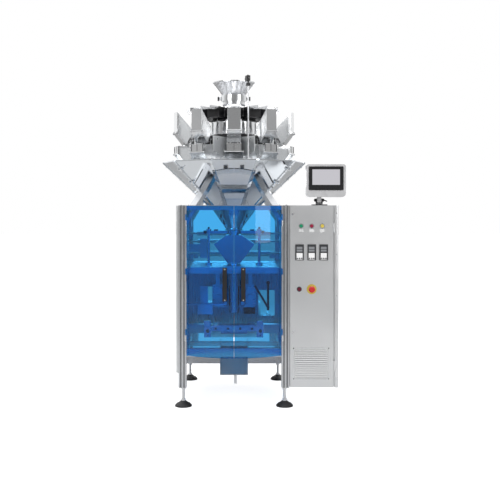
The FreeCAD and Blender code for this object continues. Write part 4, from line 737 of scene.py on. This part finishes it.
# ---------------------------------------------------------------- operator screen
def dress_screen():
    """Clamp lever and knob under the screen, and its rear lid."""
    knob = Piece("tilt_knob", "screen_arm")
    x, y, z = 544, 75, 1303
    for side in (-1, 1):
        knob.rod((x + side * 21.8, y, z), (x + side * 30, y, z), 10, BASE, 10)
        knob.rod((x + side * 30, y, z), (x + side * 33, y, z), 6, BASE, 20)
    knob.rod((x + 31, y, z), (x + 46, y - 26, z - 7), 3.6)
    knob.done("black_plastic", 0.6)
    lid = Piece("screen_lid", "screen")
    lid.box((482, 107.5, 1350), (688, 110.5, 1508))
    for px in (490, 680):
        for pz in (1358, 1500):
            lid.bolt((px, 110.5, pz), (0, 1, 0), 3.5, 2)
    lid.done("aluminium", 0.8)


# ---------------------------------------------------------------- doors
def dress_doors():
    """Handle screws of the two doors."""
    for body, side in (("left_door", -1), ("right_door", 1)):
        handle = drawing_box(body + "_handle")
        x = (handle[0].x + handle[1].x) / 2
        screws = Piece(body + "_screws", body)
        for z in (handle[0].z + 9, handle[1].z - 9):
            screws.rod((x, handle[0].y - 0.6, z), (x, handle[0].y + 1, z), 4.5, BASE, 20)
        screws.done("bright_steel", 0.2)


# ---------------------------------------------------------------- inside the bagging machine
def dress_inside():
    """Fittings of the forming set, the belts and the jaws."""
    rail = Piece("table_rail")
    rail.box((-160, 91, 836), (198, 100.2, 856))
    for x in (-150, -60, 60, 150):
        rail.bolt((x, 91, 846), (0, -1, 0), 5, 4)
    rail.done("aluminium", 0.6)
    clamps = Piece("former_clamps")
    for side in (-1, 1):
        clamps.rod((side * 190, 285.2, 1093), (side * 190, 262, 1093), 11, BASE, 10)
        clamps.rod((side * 168, 283, 1120), (side * 168, 317, 1120), 7, BASE, 16)
        clamps.box((side * 120 - 14, 280, 1102), (side * 120 + 14, 320, 1110))
    clamps.done("dark_metal", 0.5)
    bolts = Piece("machine_bolts")
    for side in (-1, 1):
        for z in (604, 640, 690, 728):
            bolts.bolt((side * 134, 325, z), (0, -1, 0), 4, 4)
        for y in (420, 470):
            bolts.bolt((side * 321, y - 14 if y > 440 else y + 14, 460), (0, 0, 1), 6, 5)
    for x in (-280, -60, 60, 280):
        for z in (385, 810):
            bolts.bolt((x, 700, z), (0, -1, 0), 6, 5)
    bolts.done("bright_steel", 0.3)
    cylinders = Piece("jaw_cylinders")
    for side in (-1, 1):
        x = side * 120
        cylinders.rod((x, 470.3, 430), (x, 560, 430), 22, BASE, 32)
        cylinders.box((x - 25, 556, 405), (x + 25, 574, 455))
        cylinders.rod((x, 574, 430), (x, 600, 430), 8, BASE, 20)
    cylinders.done("aluminium", 0.6)
    jaw = Piece("front_jaw_bolts", "front_jaw")
    for x in (-120, -40, 40, 120):
        jaw.bolt((x, 240, 458), (0, -1, 0), 6, 6)
    for side in (-1, 1):
        jaw.bolt((side * 172, 212, 446), (0, -1, 0), 9, 6)
        jaw.bolt((side * 172, 220, 424), (0, -1, 0), 7, 5)
    jaw.done("dark_metal", 0.4)


# ---------------------------------------------------------------- frame
def dress_frame():
    """Screws on the beams and plates."""
    screws = Piece("frame_screws")
    for x in (-270, -90, 90, 270):
        screws.bolt((x, 0, 1255), (0, -1, 0), 4, 3)
    for side in (-1, 1):
        for y in (30, 830):
            screws.bolt((side * 320 + (12 if side > 0 else -12), y, 1270), (0, 0, 1), 5, 4)
    for y in (120, 380, 640):
        for z in (150, 700, 1200):
            screws.bolt((-348.2 if z < 200 else -366, y, z), (-1, 0, 0), 4, 3)
    screws.done("bright_steel", 0.2)


make_camera()
make_lights()
make_world()
make_floor()
make_materials()
dress_nodes()
paint_nodes()
dress_weigher()
dress_funnel()
dress_cabinet()
dress_screen()
dress_doors()
dress_inside()
dress_frame()

bpy.context.scene.view_settings.view_transform = "Standard"
